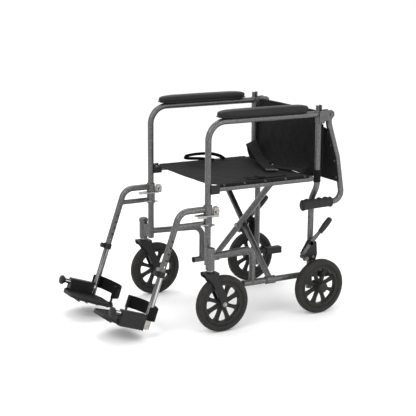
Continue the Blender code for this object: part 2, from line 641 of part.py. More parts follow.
def build_footplate():
    m = plate_frame()
    slab = prism(list(PLATE_OUTLINE), "z", TREAD_LEVEL - 0.0110, TREAD_LEVEL - 0.0015)
    tread = [(-0.026, 0.022), (-0.026, 0.122), (-0.100, 0.136), (-0.146, 0.104), (-0.155, 0.050), (-0.148, 0.014), (-0.060, 0.000)]
    pad = prism(tread, "z", TREAD_LEVEL - 0.0030, TREAD_LEVEL)
    sleeve = box((-0.0150, 0.0155), (0.0130, 0.1060), (TREAD_LEVEL - 0.0140, 0.0140))
    peg = rod((-0.156, 0.004, TREAD_LEVEL - 0.0060), (-0.156, 0.004, 0.0425), 0.0042, 8)
    bore = rod((0, -0.02, 0), (0, 0.20, 0), EXTENSION_R + GAP, TUBE_SIDES)
    body = fuse([slab, pad, sleeve, peg], [bore])
    pair("footplate", moved(body, m), ["black_plastic"])


def build_heel_loop():
    m = plate_frame()
    outer = [(0.0165, 0.0100), (0.0175, -0.0060), (0.0120, -0.0210), (-0.0060, -0.0310), (-0.0400, -0.0420)]
    outer += [(-0.0850, -0.0480), (-0.1200, -0.0420), (-0.1450, -0.0240), (-0.1590, -0.0020)]
    path = [Vector(p) for p in outer]
    left, right = [], []
    for i, p in enumerate(path):
        t = (path[min(i + 1, len(path) - 1)] - path[max(i - 1, 0)]).normalized()
        n = Vector((-t.y, t.x)) * (BELT_THICK / 2)
        left.append(p + n)
        right.append(p - n)
    band = prism([tuple(p) for p in left + right[::-1]], "z", *STRAP_Z)
    pair("heel_loop", moved(band, m), ["webbing"])


def slanted(path, turn, width):
    """A strap of one width: a path of (x, z) points across the chair, drifting toward +Y by turn as x grows."""
    line = [Vector(q) for q in path]
    faces = []
    for sign in (1, -1):
        face = []
        for i, q in enumerate(line):
            t = (line[min(i + 1, len(line) - 1)] - line[max(i - 1, 0)]).normalized()
            face.append(tuple(q + Vector((-t.y, t.x)) * (sign * BELT_THICK / 2)))
        faces.append(face)
    bm = prism(faces[0] + faces[1][::-1], "y", -width / 2, width / 2)
    shear = Matrix.Identity(4)
    shear[1][0] = turn[0]
    shear[1][3] = turn[1]
    return moved(bm, shear)


def belt_loop(side):
    """The strap's band round a rear post, with the tail that leaves it."""
    low, high = 0.4885, 0.4885 + BELT_WIDTH
    ring = [(low, TUBE_R + GAP), (low, TUBE_R + GAP + BELT_THICK), (high, TUBE_R + GAP + BELT_THICK), (high, TUBE_R + GAP)]
    loop = lathe_z(ring, side * POST_X, POST_Y, TUBE_SIDES)
    plan = [(0.2105, 0.2170), (0.1900, 0.2020), (0.1888, 0.2036), (0.2093, 0.2186)]
    tail = prism([(side * x, y) for x, y in plan], "z", low + 0.001, high - 0.001)
    return [loop, tail]


def build_belts():
    near = [(-0.010, 0.5203), (0.080, 0.5215), (0.140, 0.5250), (0.1915, 0.5290)]
    add("left_belt", fuse(belt_loop(1) + [slanted(near, (0.24, 0.158), 0.040)]), ["webbing"])
    far = [(-0.1905, 0.5202), (-0.178, 0.5600), (-0.160, 0.5780), (-0.135, 0.5830), (-0.085, 0.5660), (-0.020, 0.5410), (0.045, 0.5295), (0.105, 0.5262)]
    add("right_belt", fuse(belt_loop(-1) + [slanted(far, (-0.31, 0.1405), 0.040)]), ["webbing"])
    buckle = box((-0.062, -0.0105), (0.134, 0.182), (0.5194, 0.5290))
    add("belt_buckle", buckle, ["black_plastic"])


def hinge_places():
    """Each body's parent and the point its joint turns about, for the left side and the middle."""
    wheel = (CASTER_X, CASTER_Y + CASTER_TRAIL, WHEEL_R)
    tree = {
        "caster": ("frame", (CASTER_X, CASTER_Y, HOUSING_LOW)),
        "caster_wheel": ("caster", wheel),
        "rear_wheel": ("frame", (REAR_WHEEL_X, REAR_WHEEL_Y, WHEEL_R)),
        "hanger": ("frame", (POST_X, -POST_Y, HANGER_TOP_Z)),
        "extension": ("hanger", on_tube(0.0)),
        "footplate": ("extension", on_tube(HINGE_LEVEL)),
        "brake": ("frame", (POST_X, *BRAKE_PIVOT)),
        "cane": ("frame", (POST_X, *CANE_HINGE)),
    }
    places = {"right_frame": (None, (-INNER_X, 0, LOWER_Z))}
    places["cross_a"] = ("right_frame", (-INNER_X, CROSS_Y[0], LOWER_Z))
    places["cross_b"] = ("cross_a", (0, CROSS_Y[1], crossing()))
    places["left_frame"] = ("cross_b", (INNER_X, 0, LOWER_Z))
    places["left_seat"] = ("cross_a", (POST_X, 0, SEAT_Z))
    places["right_seat"] = ("cross_b", (-POST_X, 0, SEAT_Z))
    for side, s in (("left_", 1), ("right_", -1)):
        for body, (parent, (x, y, z)) in tree.items():
            places[side + body] = (side + parent, (s * x, y, z))
    return places


def body_parts():
    """The nodes that each body carries."""
    fixed = ["arm_frame", "rear_post", "brace_tube", "lower_rail", "caster_housing", "arm_pad", "seat_guide"]
    fixed += ["cane_bracket", "brake_bracket", "tip_lever", "rear_axle", "belt"]
    kinds = {"frame": fixed, "seat": ["seat_panel"], "caster": ["caster_fork"], "caster_wheel": ["caster_rim", "caster_tyre"],
             "rear_wheel": ["rear_rim", "rear_tyre"], "hanger": ["hanger", "hanger_bracket"], "extension": ["extension"],
             "footplate": ["footplate", "heel_loop"], "brake": ["brake_lever"], "cane": ["push_cane", "grip"]}
    parts = {"cross_a": ["cross_tube_a", "pivot_bolt", "left_seat_rail"], "cross_b": ["cross_tube_b", "right_seat_rail"]}
    for side in ("left_", "right_"):
        for body, nodes in kinds.items():
            parts[side + body] = [side + node for node in nodes]
    parts["right_frame"].append("back_lower")
    parts["right_cane"].append("back_upper")
    parts["left_frame"].append("belt_buckle")
    return parts


def assemble():
    """Each body is an empty on its joint, under its parent body, with its pieces below it."""
    places, parts, empties = hinge_places(), body_parts(), {}
    for body, (parent, point) in places.items():
        empties[body] = bpy.data.objects.new(body + "_joint", None)
        bpy.context.collection.objects.link(empties[body])
    for body, (parent, point) in places.items():
        pivot = Vector(point) + Vector((0, MIDDLE_Y, 0))
        if parent:
            empties[body].parent = empties[parent]
            empties[body].location = Vector(point) - Vector(places[parent][1])
        else:
            empties[body].location = pivot
        for name in parts[body]:
            thing = bpy.data.objects[name]
            thing.data.transform(Matrix.Translation(-pivot))
            thing.parent = empties[body]


clear_scene()
build_side_frame()
build_caster_housing()
build_arm_pad()
build_seat_guide()
build_cane_bracket()
build_brake()
build_tip_lever()
build_wheels()
build_fork()
build_cross_braces()
build_seat()
build_back()
build_canes()
build_hanger()
build_hanger_bracket()
build_extension()
build_footplate()
build_heel_loop()
build_belts()
assemble()
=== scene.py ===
"""Looks for the transport wheelchair: every visible piece, its material, the light and the camera."""
import math

import bmesh
import bpy
from mathutils import Matrix, Vector, noise


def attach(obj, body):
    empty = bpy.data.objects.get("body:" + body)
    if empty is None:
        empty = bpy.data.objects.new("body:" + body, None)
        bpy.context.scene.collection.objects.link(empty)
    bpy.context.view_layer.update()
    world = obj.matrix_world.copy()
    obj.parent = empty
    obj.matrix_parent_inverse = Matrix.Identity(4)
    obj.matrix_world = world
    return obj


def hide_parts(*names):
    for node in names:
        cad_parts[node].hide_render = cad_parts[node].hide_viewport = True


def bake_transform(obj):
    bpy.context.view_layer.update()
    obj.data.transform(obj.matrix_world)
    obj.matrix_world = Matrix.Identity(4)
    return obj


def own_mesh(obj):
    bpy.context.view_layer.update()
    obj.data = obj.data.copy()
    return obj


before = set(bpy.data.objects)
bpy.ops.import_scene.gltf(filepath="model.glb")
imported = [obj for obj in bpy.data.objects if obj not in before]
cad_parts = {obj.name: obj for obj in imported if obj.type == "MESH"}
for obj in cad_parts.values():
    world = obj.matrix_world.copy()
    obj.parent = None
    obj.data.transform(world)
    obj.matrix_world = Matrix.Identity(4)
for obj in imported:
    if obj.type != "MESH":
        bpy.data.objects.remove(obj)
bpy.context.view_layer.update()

MID_Y = 0.13215
TUBE_R = 0.0111
POST_X, POST_Y, INNER_X = 0.218, 0.227, 0.185
ARM_Z, SEAT_Z, LOWER_Z, BRACE_Z = 0.736, 0.503, 0.135, 0.263
CASTER_X, CASTER_Y, TRAIL = 0.258, -0.239, 0.049
REAR_X, REAR_Y, WHEEL_R = 0.242, 0.232, 0.1016
CROSS_Y = (0.031, 0.0545)
HANGER_TOP_Z = 0.4345
HANGER_FOOT = Vector((-0.411, 0.2185))
EXTENSION_FOOT = Vector((-0.4725, 0.040))
SIDES = {"left": 1, "right": -1}
CLOTH_Y = POST_Y + TUBE_R + 0.0026
FLAP_AHEAD = 0.0142
BELT_WIDE, WEB_THICK = 0.0435, 0.0018
BELT_BAND = (0.4885, 0.5335)
TREAD = -0.0260


# ---------------------------------------------------------------- materials

def new_material(name):
    m = bpy.data.materials.new(name)
    m.use_nodes = True
    nodes, links = m.node_tree.nodes, m.node_tree.links
    shader = nodes["Principled BSDF"]
    return m, nodes, links, shader


def node(nodes, kind, **values):
    n = nodes.new(kind)
    for key, value in values.items():
        if key in n.inputs:
            n.inputs[key].default_value = value
        else:
            setattr(n, key, value)
    return n


def coords(nodes, links, scale=(1, 1, 1)):
    place = node(nodes, "ShaderNodeTexCoord")
    mapping = node(nodes, "ShaderNodeMapping", Scale=scale)
    links.new(place.outputs["Object"], mapping.inputs["Vector"])
    return mapping.outputs["Vector"]


def ramp(nodes, links, source, stops):
    r = node(nodes, "ShaderNodeValToRGB")
    r.color_ramp.elements[0].position, r.color_ramp.elements[0].color = stops[0][0], stops[0][1]
    r.color_ramp.elements[1].position, r.color_ramp.elements[1].color = stops[-1][0], stops[-1][1]
    for pos, colour in stops[1:-1]:
        e = r.color_ramp.elements.new(pos)
        e.color = colour
    links.new(source, r.inputs["Fac"])
    return r.outputs["Color"]


def bump(nodes, links, shader, height, strength, distance):
    b = node(nodes, "ShaderNodeBump", Strength=strength, Distance=distance)
    links.new(height, b.inputs["Height"])
    links.new(b.outputs["Normal"], shader.inputs["Normal"])
    return b


def grey(v, warm=0.0):
    return (v * (1 + warm), v, v * (1 - warm), 1)


def speckled(name, low, high, scale, rough, metallic=0.0, bump_scale=None, strength=0.3, distance=0.0003,
    warm=0.0, coat=0.0, rough_low=None):
    """A paint or moulded plastic: a fine cloudy colour, its own roughness spread and a grain."""
    m, nodes, links, shader = new_material(name)
    at = coords(nodes, links)
    cloud = node(nodes, "ShaderNodeTexNoise", Scale=scale, Detail=5.0, Roughness=0.62)
    links.new(at, cloud.inputs["Vector"])
    links.new(ramp(nodes, links, cloud.outputs["Fac"], [(0.36, grey(low, warm)), (0.66, grey(high, warm))]),
        shader.inputs["Base Color"])
    spread = node(nodes, "ShaderNodeMapRange")
    spread.inputs["To Min"].default_value = rough if rough_low is None else rough_low
    spread.inputs["To Max"].default_value = rough + 0.1
    links.new(cloud.outputs["Fac"], spread.inputs["Value"])
    links.new(spread.outputs["Result"], shader.inputs["Roughness"])
    shader.inputs["Metallic"].default_value = metallic
    shader.inputs["Specular IOR Level"].default_value = 0.26
    shader.inputs["Coat Weight"].default_value = coat
    shader.inputs["Coat Roughness"].default_value = 0.12
    grain = node(nodes, "ShaderNodeTexNoise", Scale=bump_scale or scale * 2, Detail=4.0, Roughness=0.6)
    links.new(at, grain.inputs["Vector"])
    bump(nodes, links, shader, grain.outputs["Fac"], strength, distance)
    return m


def hammered(name):
    """Dark grey hammered powder coat with lighter metallic veins."""
    m, nodes, links, shader = new_material(name)
    at = coords(nodes, links)
    cells = node(nodes, "ShaderNodeTexVoronoi", Scale=520.0, feature="SMOOTH_F1")
    wobble = node(nodes, "ShaderNodeTexNoise", Scale=900.0, Detail=3.0)
    links.new(at, cells.inputs["Vector"])
    links.new(at, wobble.inputs["Vector"])
    both = node(nodes, "ShaderNodeMath", operation="MULTIPLY_ADD")
    both.inputs[1].default_value = 0.45
    links.new(wobble.outputs["Fac"], both.inputs[0])
    links.new(cells.outputs["Distance"], both.inputs[2])
    colour = ramp(nodes, links, both.outputs["Value"],
        [(0.30, grey(0.022)), (0.54, grey(0.060)), (0.86, grey(0.17, 0.01))])
    links.new(colour, shader.inputs["Base Color"])
    gloss = node(nodes, "ShaderNodeMapRange")
    gloss.inputs["To Min"].default_value = 0.24
    gloss.inputs["To Max"].default_value = 0.46
    links.new(both.outputs["Value"], gloss.inputs["Value"])
    links.new(gloss.outputs["Result"], shader.inputs["Roughness"])
    shader.inputs["Metallic"].default_value = 0.8
    shader.inputs["Coat Weight"].default_value = 0.22
    shader.inputs["Coat Roughness"].default_value = 0.14
    bump(nodes, links, shader, both.outputs["Value"], 0.35, 0.0004)
    return m


def woven(name, tone, pitch, strength, sheen, rough=0.82, ribs=None, warm=0.0):
    """Cloth: two crossed wave patterns of the thread's pitch, with slow colour variation."""
    m, nodes, links, shader = new_material(name)
    at = coords(nodes, links)
    scale = 1.0 / pitch / 2 / math.pi * 2
    warp = node(nodes, "ShaderNodeTexWave", Scale=scale, wave_type="BANDS", bands_direction="X")
    weft = node(nodes, "ShaderNodeTexWave", Scale=scale, wave_type="BANDS", bands_direction=ribs or "Y")
    for w in (warp, weft):
        links.new(at, w.inputs["Vector"])
    mix = node(nodes, "ShaderNodeMath", operation="MAXIMUM" if not ribs else "ADD")
    links.new(warp.outputs["Fac"], mix.inputs[0])
    links.new(weft.outputs["Fac"], mix.inputs[1])
    cloud = node(nodes, "ShaderNodeTexNoise", Scale=34.0, Detail=6.0, Roughness=0.6)
    links.new(at, cloud.inputs["Vector"])
    links.new(ramp(nodes, links, cloud.outputs["Fac"],
        [(0.3, grey(tone * 0.75, warm)), (0.7, grey(tone * 1.35, warm))]), shader.inputs["Base Color"])
    shader.inputs["Roughness"].default_value = rough
    shader.inputs["Sheen Weight"].default_value = sheen
    shader.inputs["Sheen Roughness"].default_value = 0.45
    shader.inputs["Specular IOR Level"].default_value = 0.10
    bump(nodes, links, shader, mix.outputs["Value"], strength, 0.0003)
    return m


def plated(name, axis):
    """Chrome on drawn tube: its base colour is painted with long dark and bright streaks down its length,
    painted reflections standing in for a darker surround; the same streaks give a faint bump.
    """
    m, nodes, links, shader = new_material(name)
    place = node(nodes, "ShaderNodeTexCoord")
    lean = node(nodes, "ShaderNodeMapping", Rotation=axis)
    links.new(place.outputs["Object"], lean.inputs["Vector"])
    turn = node(nodes, "ShaderNodeMapping", Scale=(170, 170, 3.0))
    links.new(lean.outputs["Vector"], turn.inputs["Vector"])
    reflection_and_bump_streak = node(nodes, "ShaderNodeTexNoise", Scale=1.0, Detail=3.0, Roughness=0.5)
    links.new(turn.outputs["Vector"], reflection_and_bump_streak.inputs["Vector"])
    # Painted reflection: the ramp paints the streaks from dark to bright into the metal's base colour.
    stops = [(0.40, grey(0.06)), (0.50, grey(0.30)), (0.58, grey(0.80))]
    links.new(ramp(nodes, links, reflection_and_bump_streak.outputs["Fac"], stops), shader.inputs["Base Color"])
    shader.inputs["Metallic"].default_value = 1.0
    shader.inputs["Roughness"].default_value = 0.16
    bump(nodes, links, shader, reflection_and_bump_streak.outputs["Fac"], 0.12, 0.0004)
    return m


def leathery(name, tone):
    m, nodes, links, shader = new_material(name)
    at = coords(nodes, links)
    cells = node(nodes, "ShaderNodeTexVoronoi", Scale=620.0, feature="F1")
    links.new(at, cells.inputs["Vector"])
    cloud = node(nodes, "ShaderNodeTexNoise", Scale=40.0, Detail=5.0)
    links.new(at, cloud.inputs["Vector"])
    links.new(ramp(nodes, links, cloud.outputs["Fac"], [(0.3, grey(tone * 0.8)), (0.7, grey(tone * 1.3))]),
        shader.inputs["Base Color"])
    shader.inputs["Roughness"].default_value = 0.5
    shader.inputs["Specular IOR Level"].default_value = 0.24
    bump(nodes, links, shader, cells.outputs["Distance"], 0.25, 0.0003)
    return m


MAT = {
    "frame_paint": hammered("frame_paint_hammered"),
    "black_plastic": speckled("black_plastic_grained", 0.006, 0.012, 160, 0.42, bump_scale=1400,
    strength=0.22),
    "wheel_plastic": speckled("wheel_plastic_moulded", 0.009, 0.016, 60, 0.46, bump_scale=900, strength=0.18,
    warm=0.06),
    "tyre": speckled("tyre_solid", 0.011, 0.019, 45, 0.60, bump_scale=700, strength=0.25, warm=0.08),
    # Both chrome materials carry painted reflection streaks in their colour.
    "chrome": plated("chrome_painted_reflections", (math.radians(19), 0, 0)),
    "chrome_bar": plated("chrome_bar", (math.radians(-71), 0, 0)),
    "zinc": speckled("zinc_plate", 0.22, 0.42, 120, 0.27, metallic=1.0, bump_scale=500, strength=0.12,
    warm=0.05),
    "dark_zinc": speckled("dark_zinc", 0.06, 0.14, 120, 0.35, metallic=0.9, bump_scale=500, strength=0.12),
    "nylon": woven("nylon_weave", 0.0052, 0.0011, 0.45, 0.03),
    "webbing": woven("webbing_ribbed", 0.0050, 0.0021, 0.7, 0.03, ribs="Z"),
    "vinyl": leathery("vinyl_grain", 0.0075),
    "rubber": speckled("rubber_moulded", 0.010, 0.017, 80, 0.55, bump_scale=1500, strength=0.3),
    "thread": speckled("seam_thread", 0.012, 0.022, 900, 0.7),
}


# ---------------------------------------------------------------- mesh helpers

def outward(bm):
    bmesh.ops.recalc_face_normals(bm, faces=bm.faces)
    if bm.calc_volume(signed=True) < 0:
        bmesh.ops.reverse_faces(bm, faces=bm.faces)
    return bm


def solid(verts, faces):
    bm = bmesh.new()
    made = [bm.verts.new(v) for v in verts]
    for face in faces:
        bm.faces.new([made[i] for i in face])
    bmesh.ops.remove_doubles(bm, verts=bm.verts, dist=1e-7)
    return outward(bm)


def loft(rings, closed=False):
    """A skin over equal rings of points, capped at both ends, or joined end to end."""
    n, rows = len(rings[0]), len(rings)
    faces = []
    for k in range(rows if closed else rows - 1):
        m = (k + 1) % rows
        for i in range(n):
            j = (i + 1) % n
            faces.append((k * n + i, k * n + j, m * n + j, m * n + i))
    if not closed:
        faces += [tuple(range(n)), tuple(range((rows - 1) * n, rows * n))]
    return solid([p for ring in rings for p in ring], faces)


def filleted(points, bend, steps):
    """A path with each corner rounded to about the given bend."""
    pts = [Vector(p) for p in points]
    out = [pts[0]]
    for before, corner, after in zip(pts, pts[1:], pts[2:]):
        u, v = (before - corner).normalized(), (after - corner).normalized()
        half = u.angle(v) / 2
        reach = min(bend / math.tan(half), 0.48 * (before - corner).length, 0.48 * (after - corner).length)
        radius = reach * math.tan(half)
        centre = corner + (u + v).normalized() * (radius / math.sin(half))
        a, b = corner + u * reach - centre, corner + v * reach - centre
        turn = a.angle(b)
        for k in range(steps + 1):
            t = k / steps
            out.append(centre + (a * math.sin((1 - t) * turn) + b * math.sin(t * turn)) / math.sin(turn))
    out.append(pts[-1])
    return out


def path_frames(path, closed=False):
    n = len(path)
    tangents = []
    for i in range(n):
        a = path[(i - 1) % n] if closed else path[max(i - 1, 0)]
        b = path[(i + 1) % n] if closed else path[min(i + 1, n - 1)]
        tangents.append((b - a).normalized())
    side = tangents[0].orthogonal().normalized()
    if abs(tangents[0].x) < 0.9:
        side = (Vector((1, 0, 0)) - tangents[0] * tangents[0].x).normalized()
    sides = []
    for t in tangents:
        side = (side - t * side.dot(t)).normalized()
        sides.append(side)
    return tangents, sides


def ring(centre, tangent, side, radius, count, flat=1.0):
    up = tangent.cross(side)
    turns = [2 * math.pi * (i + 0.5) / count for i in range(count)]
    return [centre + side * (radius * math.cos(a)) + up * (radius * flat * math.sin(a)) for a in turns]


def tube(points, radius=TUBE_R, bend=0.04, sides=32, steps=10, chamfer=0.0006, hollow=(0, 0)):
    """A round tube with softened ends; hollow gives the depth of the open bore at each end."""
    path = filleted(points, bend, steps) if len(points) > 2 else [Vector(p) for p in points]
    tangents, side = path_frames(path)
    rings = [ring(p, t, s, radius, sides) for p, t, s in zip(path, tangents, side)]
    first, last = tangents[0], tangents[-1]
    rings[0] = ring(path[0] + first * chamfer, first, side[0], radius, sides)
    rings[-1] = ring(path[-1] - last * chamfer, last, side[-1], radius, sides)
    rings = [ring(path[0], first, side[0], radius - chamfer, sides)] + rings + [ring(path[-1], last, side[-1],
        radius - chamfer, sides)]
    if hollow[0]:
        rings = [ring(path[0] + first * hollow[0], first, side[0], radius - 0.0018, sides),
            ring(path[0], first, side[0], radius - 0.0018, sides)] + rings
    if hollow[1]:
        rings += [ring(path[-1], last, side[-1], radius - 0.0018, sides),
            ring(path[-1] - last * hollow[1], last, side[-1], radius - 0.0018, sides)]
    return loft(rings)


def rod(a, b, radius, sides=24, chamfer=0.0005):
    return tube((a, b), radius, sides=sides, chamfer=chamfer)


def closed_sweep(path, radius, sides=8):
    tangents, side = path_frames(path, closed=True)
    rings = []
    for p, t, s in zip(path, tangents, side):
        rings.append(ring(p, t, s, radius, sides))
    return loft(rings, closed=True)


def weld(bar_point, bar_axis, bar_radius, end_point, direction, radius, bead=0.0017):
    """The bead round a tube end where it is coped on a round bar."""
    axis, d = Vector(bar_axis).normalized(), Vector(direction).normalized()
    origin, start = Vector(bar_point), Vector(end_point)
    side = d.orthogonal().normalized()
    path = []
    for p in ring(start, d, side, radius, 40):
        w = p - origin
        w -= axis * w.dot(axis)
        e = d - axis * d.dot(axis)
        a, b, c = e.dot(e), w.dot(e), w.dot(w) - bar_radius ** 2
        root = max(b * b - a * c, 0.0)
        path.append(p + d * ((-b - math.sqrt(root)) / a))
    tangents, _ = path_frames(path, closed=True)
    rings = []
    for p, t in zip(path, tangents):
        s = (p - start - d * (p - start).dot(d)).normalized()
        s = (s - t * s.dot(t)).normalized()
        rings.append(ring(p, t, s, bead, 8))
    return loft(rings, closed=True)


def prism(outline, axis, low, high):
    def place(p, w):
        return {"x": (w, p[0], p[1]), "y": (p[0], w, p[1]), "z": (p[0], p[1], w)}[axis]
    return loft([[place(p, w) for p in outline] for w in (low, high)])


def box(x, y, z):
    return prism([(x[0], y[0]), (x[1], y[0]), (x[1], y[1]), (x[0], y[1])], "z", z[0], z[1])


def lathe(profile, centre=(0, 0, 0), axis="x", segments=72, closed=False):
    """A profile of (along, radius) turned about an axis through a centre."""
    c = Vector(centre)
    rings = []
    for w, r in profile:
        row = []
        for i in range(segments):
            a = 2 * math.pi * i / segments
            u, v = max(r, 1e-5) * math.sin(a), -max(r, 1e-5) * math.cos(a)
            row.append(c + Vector({"x": (w, u, v), "y": (u, w, v), "z": (u, v, w)}[axis]))
        rings.append(row)
    return loft(rings, closed)


def moved(bm, matrix):
    bmesh.ops.transform(bm, matrix=matrix, verts=bm.verts)
    return outward(bm)


def joined(parts):
    """Several solids in one mesh."""
    target = parts[0]
    for other in parts[1:]:
        mesh = bpy.data.meshes.new("part")
        other.to_mesh(mesh)
        other.free()
        target.from_mesh(mesh)
        bpy.data.meshes.remove(mesh)
    return target


def as_object(bm):
    mesh = bpy.data.meshes.new("tool")
    bm.to_mesh(mesh)
    bm.free()
    thing = bpy.data.objects.new("tool", mesh)
    bpy.context.collection.objects.link(thing)
    return thing


def fuse(solids, cuts=()):
    """The union of overlapping solids less the cutting solids."""
    base = as_object(solids[0])
    tools = [(as_object(bm), "UNION") for bm in solids[1:]] + [(as_object(bm), "DIFFERENCE") for bm in cuts]
    for tool, operation in tools:
        step = base.modifiers.new(operation, "BOOLEAN")
        step.operation, step.solver, step.object = operation, "EXACT", tool
    result = bpy.data.meshes.new_from_object(base.evaluated_get(bpy.context.evaluated_depsgraph_get()))
    bm = bmesh.new()
    bm.from_mesh(result)
    bmesh.ops.remove_doubles(bm, verts=bm.verts, dist=2e-6)
    for thing in [base] + [tool for tool, _ in tools]:
        bpy.data.objects.remove(thing, do_unlink=True)
    bpy.data.meshes.remove(result)
    return outward(bm)


def mirrored(bm):
    other = bm.copy()
    bmesh.ops.scale(other, vec=(-1, 1, 1), verts=other.verts)
    bmesh.ops.reverse_faces(other, faces=other.faces)
    return other


def piece(name, bm, slot, body, nodes=(), bevel=0.0, angle=38, material=None, smooth=True):
    """A finished visible piece: shaded, painted, riding on its body, with the CAD nodes it stands in for
    hidden.
    """
    bmesh.ops.translate(bm, vec=(0, MID_Y, 0), verts=bm.verts)
    mesh = bpy.data.meshes.new(name)
    bm.to_mesh(mesh)
    bm.free()
    thing = bpy.data.objects.new(name, mesh)
    bpy.context.collection.objects.link(thing)
    mesh.materials.append(MAT[material or slot])
    if smooth:
        mesh.shade_smooth()
        mesh.set_sharp_from_angle(angle=math.radians(angle))
    if bevel:
        edge = thing.modifiers.new("soft_edges", "BEVEL")
        edge.width, edge.segments, edge.limit_method = bevel, 2, "ANGLE"
        edge.angle_limit = math.radians(35)
        edge.harden_normals = True
    if body:
        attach(thing, body)
    if nodes:
        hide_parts(*nodes)
    return thing


def pair(name, bm, slot, body, nodes=(), **options):
    """The piece for the left side and its mirror image for the right."""
    other = mirrored(bm)
    left = piece("left_" + name, bm, slot, "left_" + body, ["left_" + n for n in nodes], **options)
    right = piece("right_" + name, other, slot, "right_" + body, ["right_" + n for n in nodes], **options)
    return left, right


# ---------------------------------------------------------------- frame

def post_line(x, y):
    return (x, y, 0), (0, 0, 1)


def build_frame():
    """Arm frames, rear posts, braces and lower rails, with their welds, caps and plugs."""
    arm = [(POST_X, -POST_Y, 0.2375), (POST_X, -POST_Y, ARM_Z), (POST_X, POST_Y - 0.004, ARM_Z)]
    bead = weld(*post_line(POST_X, POST_Y), TUBE_R, (POST_X, POST_Y - 0.03, ARM_Z), (0, 1, 0), TUBE_R)
    pair("arm_tube", joined([tube(arm, bend=0.065, steps=16), bead]), "frame_paint", "frame", ["arm_frame"])
    cap = rod((POST_X, -POST_Y, 0.2365), (POST_X, -POST_Y, 0.2395), TUBE_R + 0.0006)
    pair("front_post_cap", cap, "black_plastic", "frame")
    post = [(POST_X, POST_Y, 0.768), (POST_X, POST_Y, 0.473), (INNER_X, POST_Y, 0.418),
        (INNER_X, POST_Y, 0.080)]
    shaft = tube(post, bend=0.05, steps=8, hollow=(0.035, 0.012))
    slot_cut = box((POST_X - 0.02, POST_X + 0.02), (POST_Y - 0.0055, POST_Y + 0.0055), (0.748, 0.78))
    pair("rear_post_tube", fuse([shaft], [slot_cut]), "frame_paint", "frame", ["rear_post"], bevel=0.0004)
    low = ((INNER_X, 0, LOWER_Z), (0, 1, 0))
    brace = [(POST_X - 0.001, -POST_Y + 0.006, BRACE_Z), (INNER_X, -0.023, BRACE_Z),
        (INNER_X, -0.023, LOWER_Z + 0.006)]
    run = (Vector(brace[1]) - Vector(brace[0])).normalized()
    beads = [weld(*post_line(POST_X, -POST_Y), TUBE_R, Vector(brace[0]) + run * 0.03, -run, TUBE_R),
             weld(*low, TUBE_R, (INNER_X, -0.023, LOWER_Z + 0.03), (0, 0, -1), TUBE_R)]
    pair("brace_bar", joined([tube(brace, bend=0.036)] + beads), "frame_paint", "frame", ["brace_tube"])
    rail = tube([(INNER_X, -0.060, LOWER_Z), (INNER_X, POST_Y - 0.004, LOWER_Z)])
    bead = weld(*post_line(INNER_X, POST_Y), TUBE_R, (INNER_X, POST_Y - 0.03, LOWER_Z), (0, 1, 0), TUBE_R)
    pair("lower_bar", joined([rail, bead]), "frame_paint", "frame", ["lower_rail"])
    plug = lathe([(-0.0648, 0.0), (-0.0642, 0.008), (-0.0625, 0.0112), (-0.0596, 0.0117), (-0.0590, 0.0111)],
        (INNER_X, 0, LOWER_Z), "y", 28)
    pair("lower_plug", plug, "black_plastic", "frame")


def build_housing():
    """The upright caster barrel and the web that joins it to the frame."""
    barrel = lathe([(0.2290, 0.0), (0.2290, 0.0145), (0.2300, 0.0158), (0.2925, 0.0158), (0.2925, 0.0172),
        (0.2995, 0.0176), (0.3045, 0.0160),
                    (0.3078, 0.0120), (0.3095, 0.0060), (0.3098, 0.0)], (CASTER_X, CASTER_Y, 0), "z", 44)
    web = [(POST_X, -POST_Y - 0.009), (CASTER_X, CASTER_Y - 0.010), (CASTER_X, CASTER_Y + 0.010),
        (POST_X, -POST_Y + 0.0018)]
    pair("caster_barrel", fuse([barrel, prism(web, "z", 0.241, 0.287)]), "frame_paint", "frame",
        ["caster_housing"], bevel=0.0006)


def build_arm_pad():
    """A crowned foam pad: its section swells between a flat base and a soft top, and its ends round over."""
    low, tall, half, y0, y1 = ARM_Z + TUBE_R - 0.0016, 0.0302, 0.0262, -0.1910, 0.1775
    rings = []
    count, rows = 48, 44
    for k in range(rows + 1):
        t = k / rows
        along = -math.cos(math.pi * t)
        edge = (1 - abs(along) ** 7) ** (1 / 2.4) if abs(along) < 1 else 0.0
        y = (y0 + y1) / 2 + along * (y1 - y0) / 2
        shape = max(edge, 0.02)
        crown = 1.0 + 0.03 * math.cos(math.pi * along / 2)
        row = []
        for i in range(count):
            a = 2 * math.pi * i / count
            c, s = math.cos(a), math.sin(a)
            u = math.copysign(abs(c) ** 0.62, c)
            v = math.copysign(abs(s) ** 0.74, s)
            x = POST_X + half * (0.25 + 0.75 * shape) * shape ** 0.4 * u
            z = (low + tall * 0.5 * (1 + v * shape ** 0.8 * crown * 0.97) if v > 0
                 else low + tall * 0.5 * (1 + v * shape ** 0.35))
            ripple = 0.0004 * noise.noise(Vector((x * 60, y * 25, z * 60)))
            row.append((x, y, z + ripple * (v > 0)))
        rings.append(row)
    pads = pair("arm_cushion", loft(rings), "vinyl", "frame", ["arm_pad"], angle=80)
    rim = []
    for i in range(96):
        a = 2 * math.pi * i / 96
        c, s = math.cos(a), math.sin(a)
        rim.append(Vector((POST_X + (half - 0.0012) * math.copysign(abs(c) ** 0.35, c),
            (y0 + y1) / 2 + 0.1825 * math.copysign(abs(s) ** 0.18, s), low + 0.0066)))
    pair("arm_piping", closed_sweep(rim, 0.0011, 8), "vinyl", "frame", material="thread")


# ---------------------------------------------------------------- wheels and casters

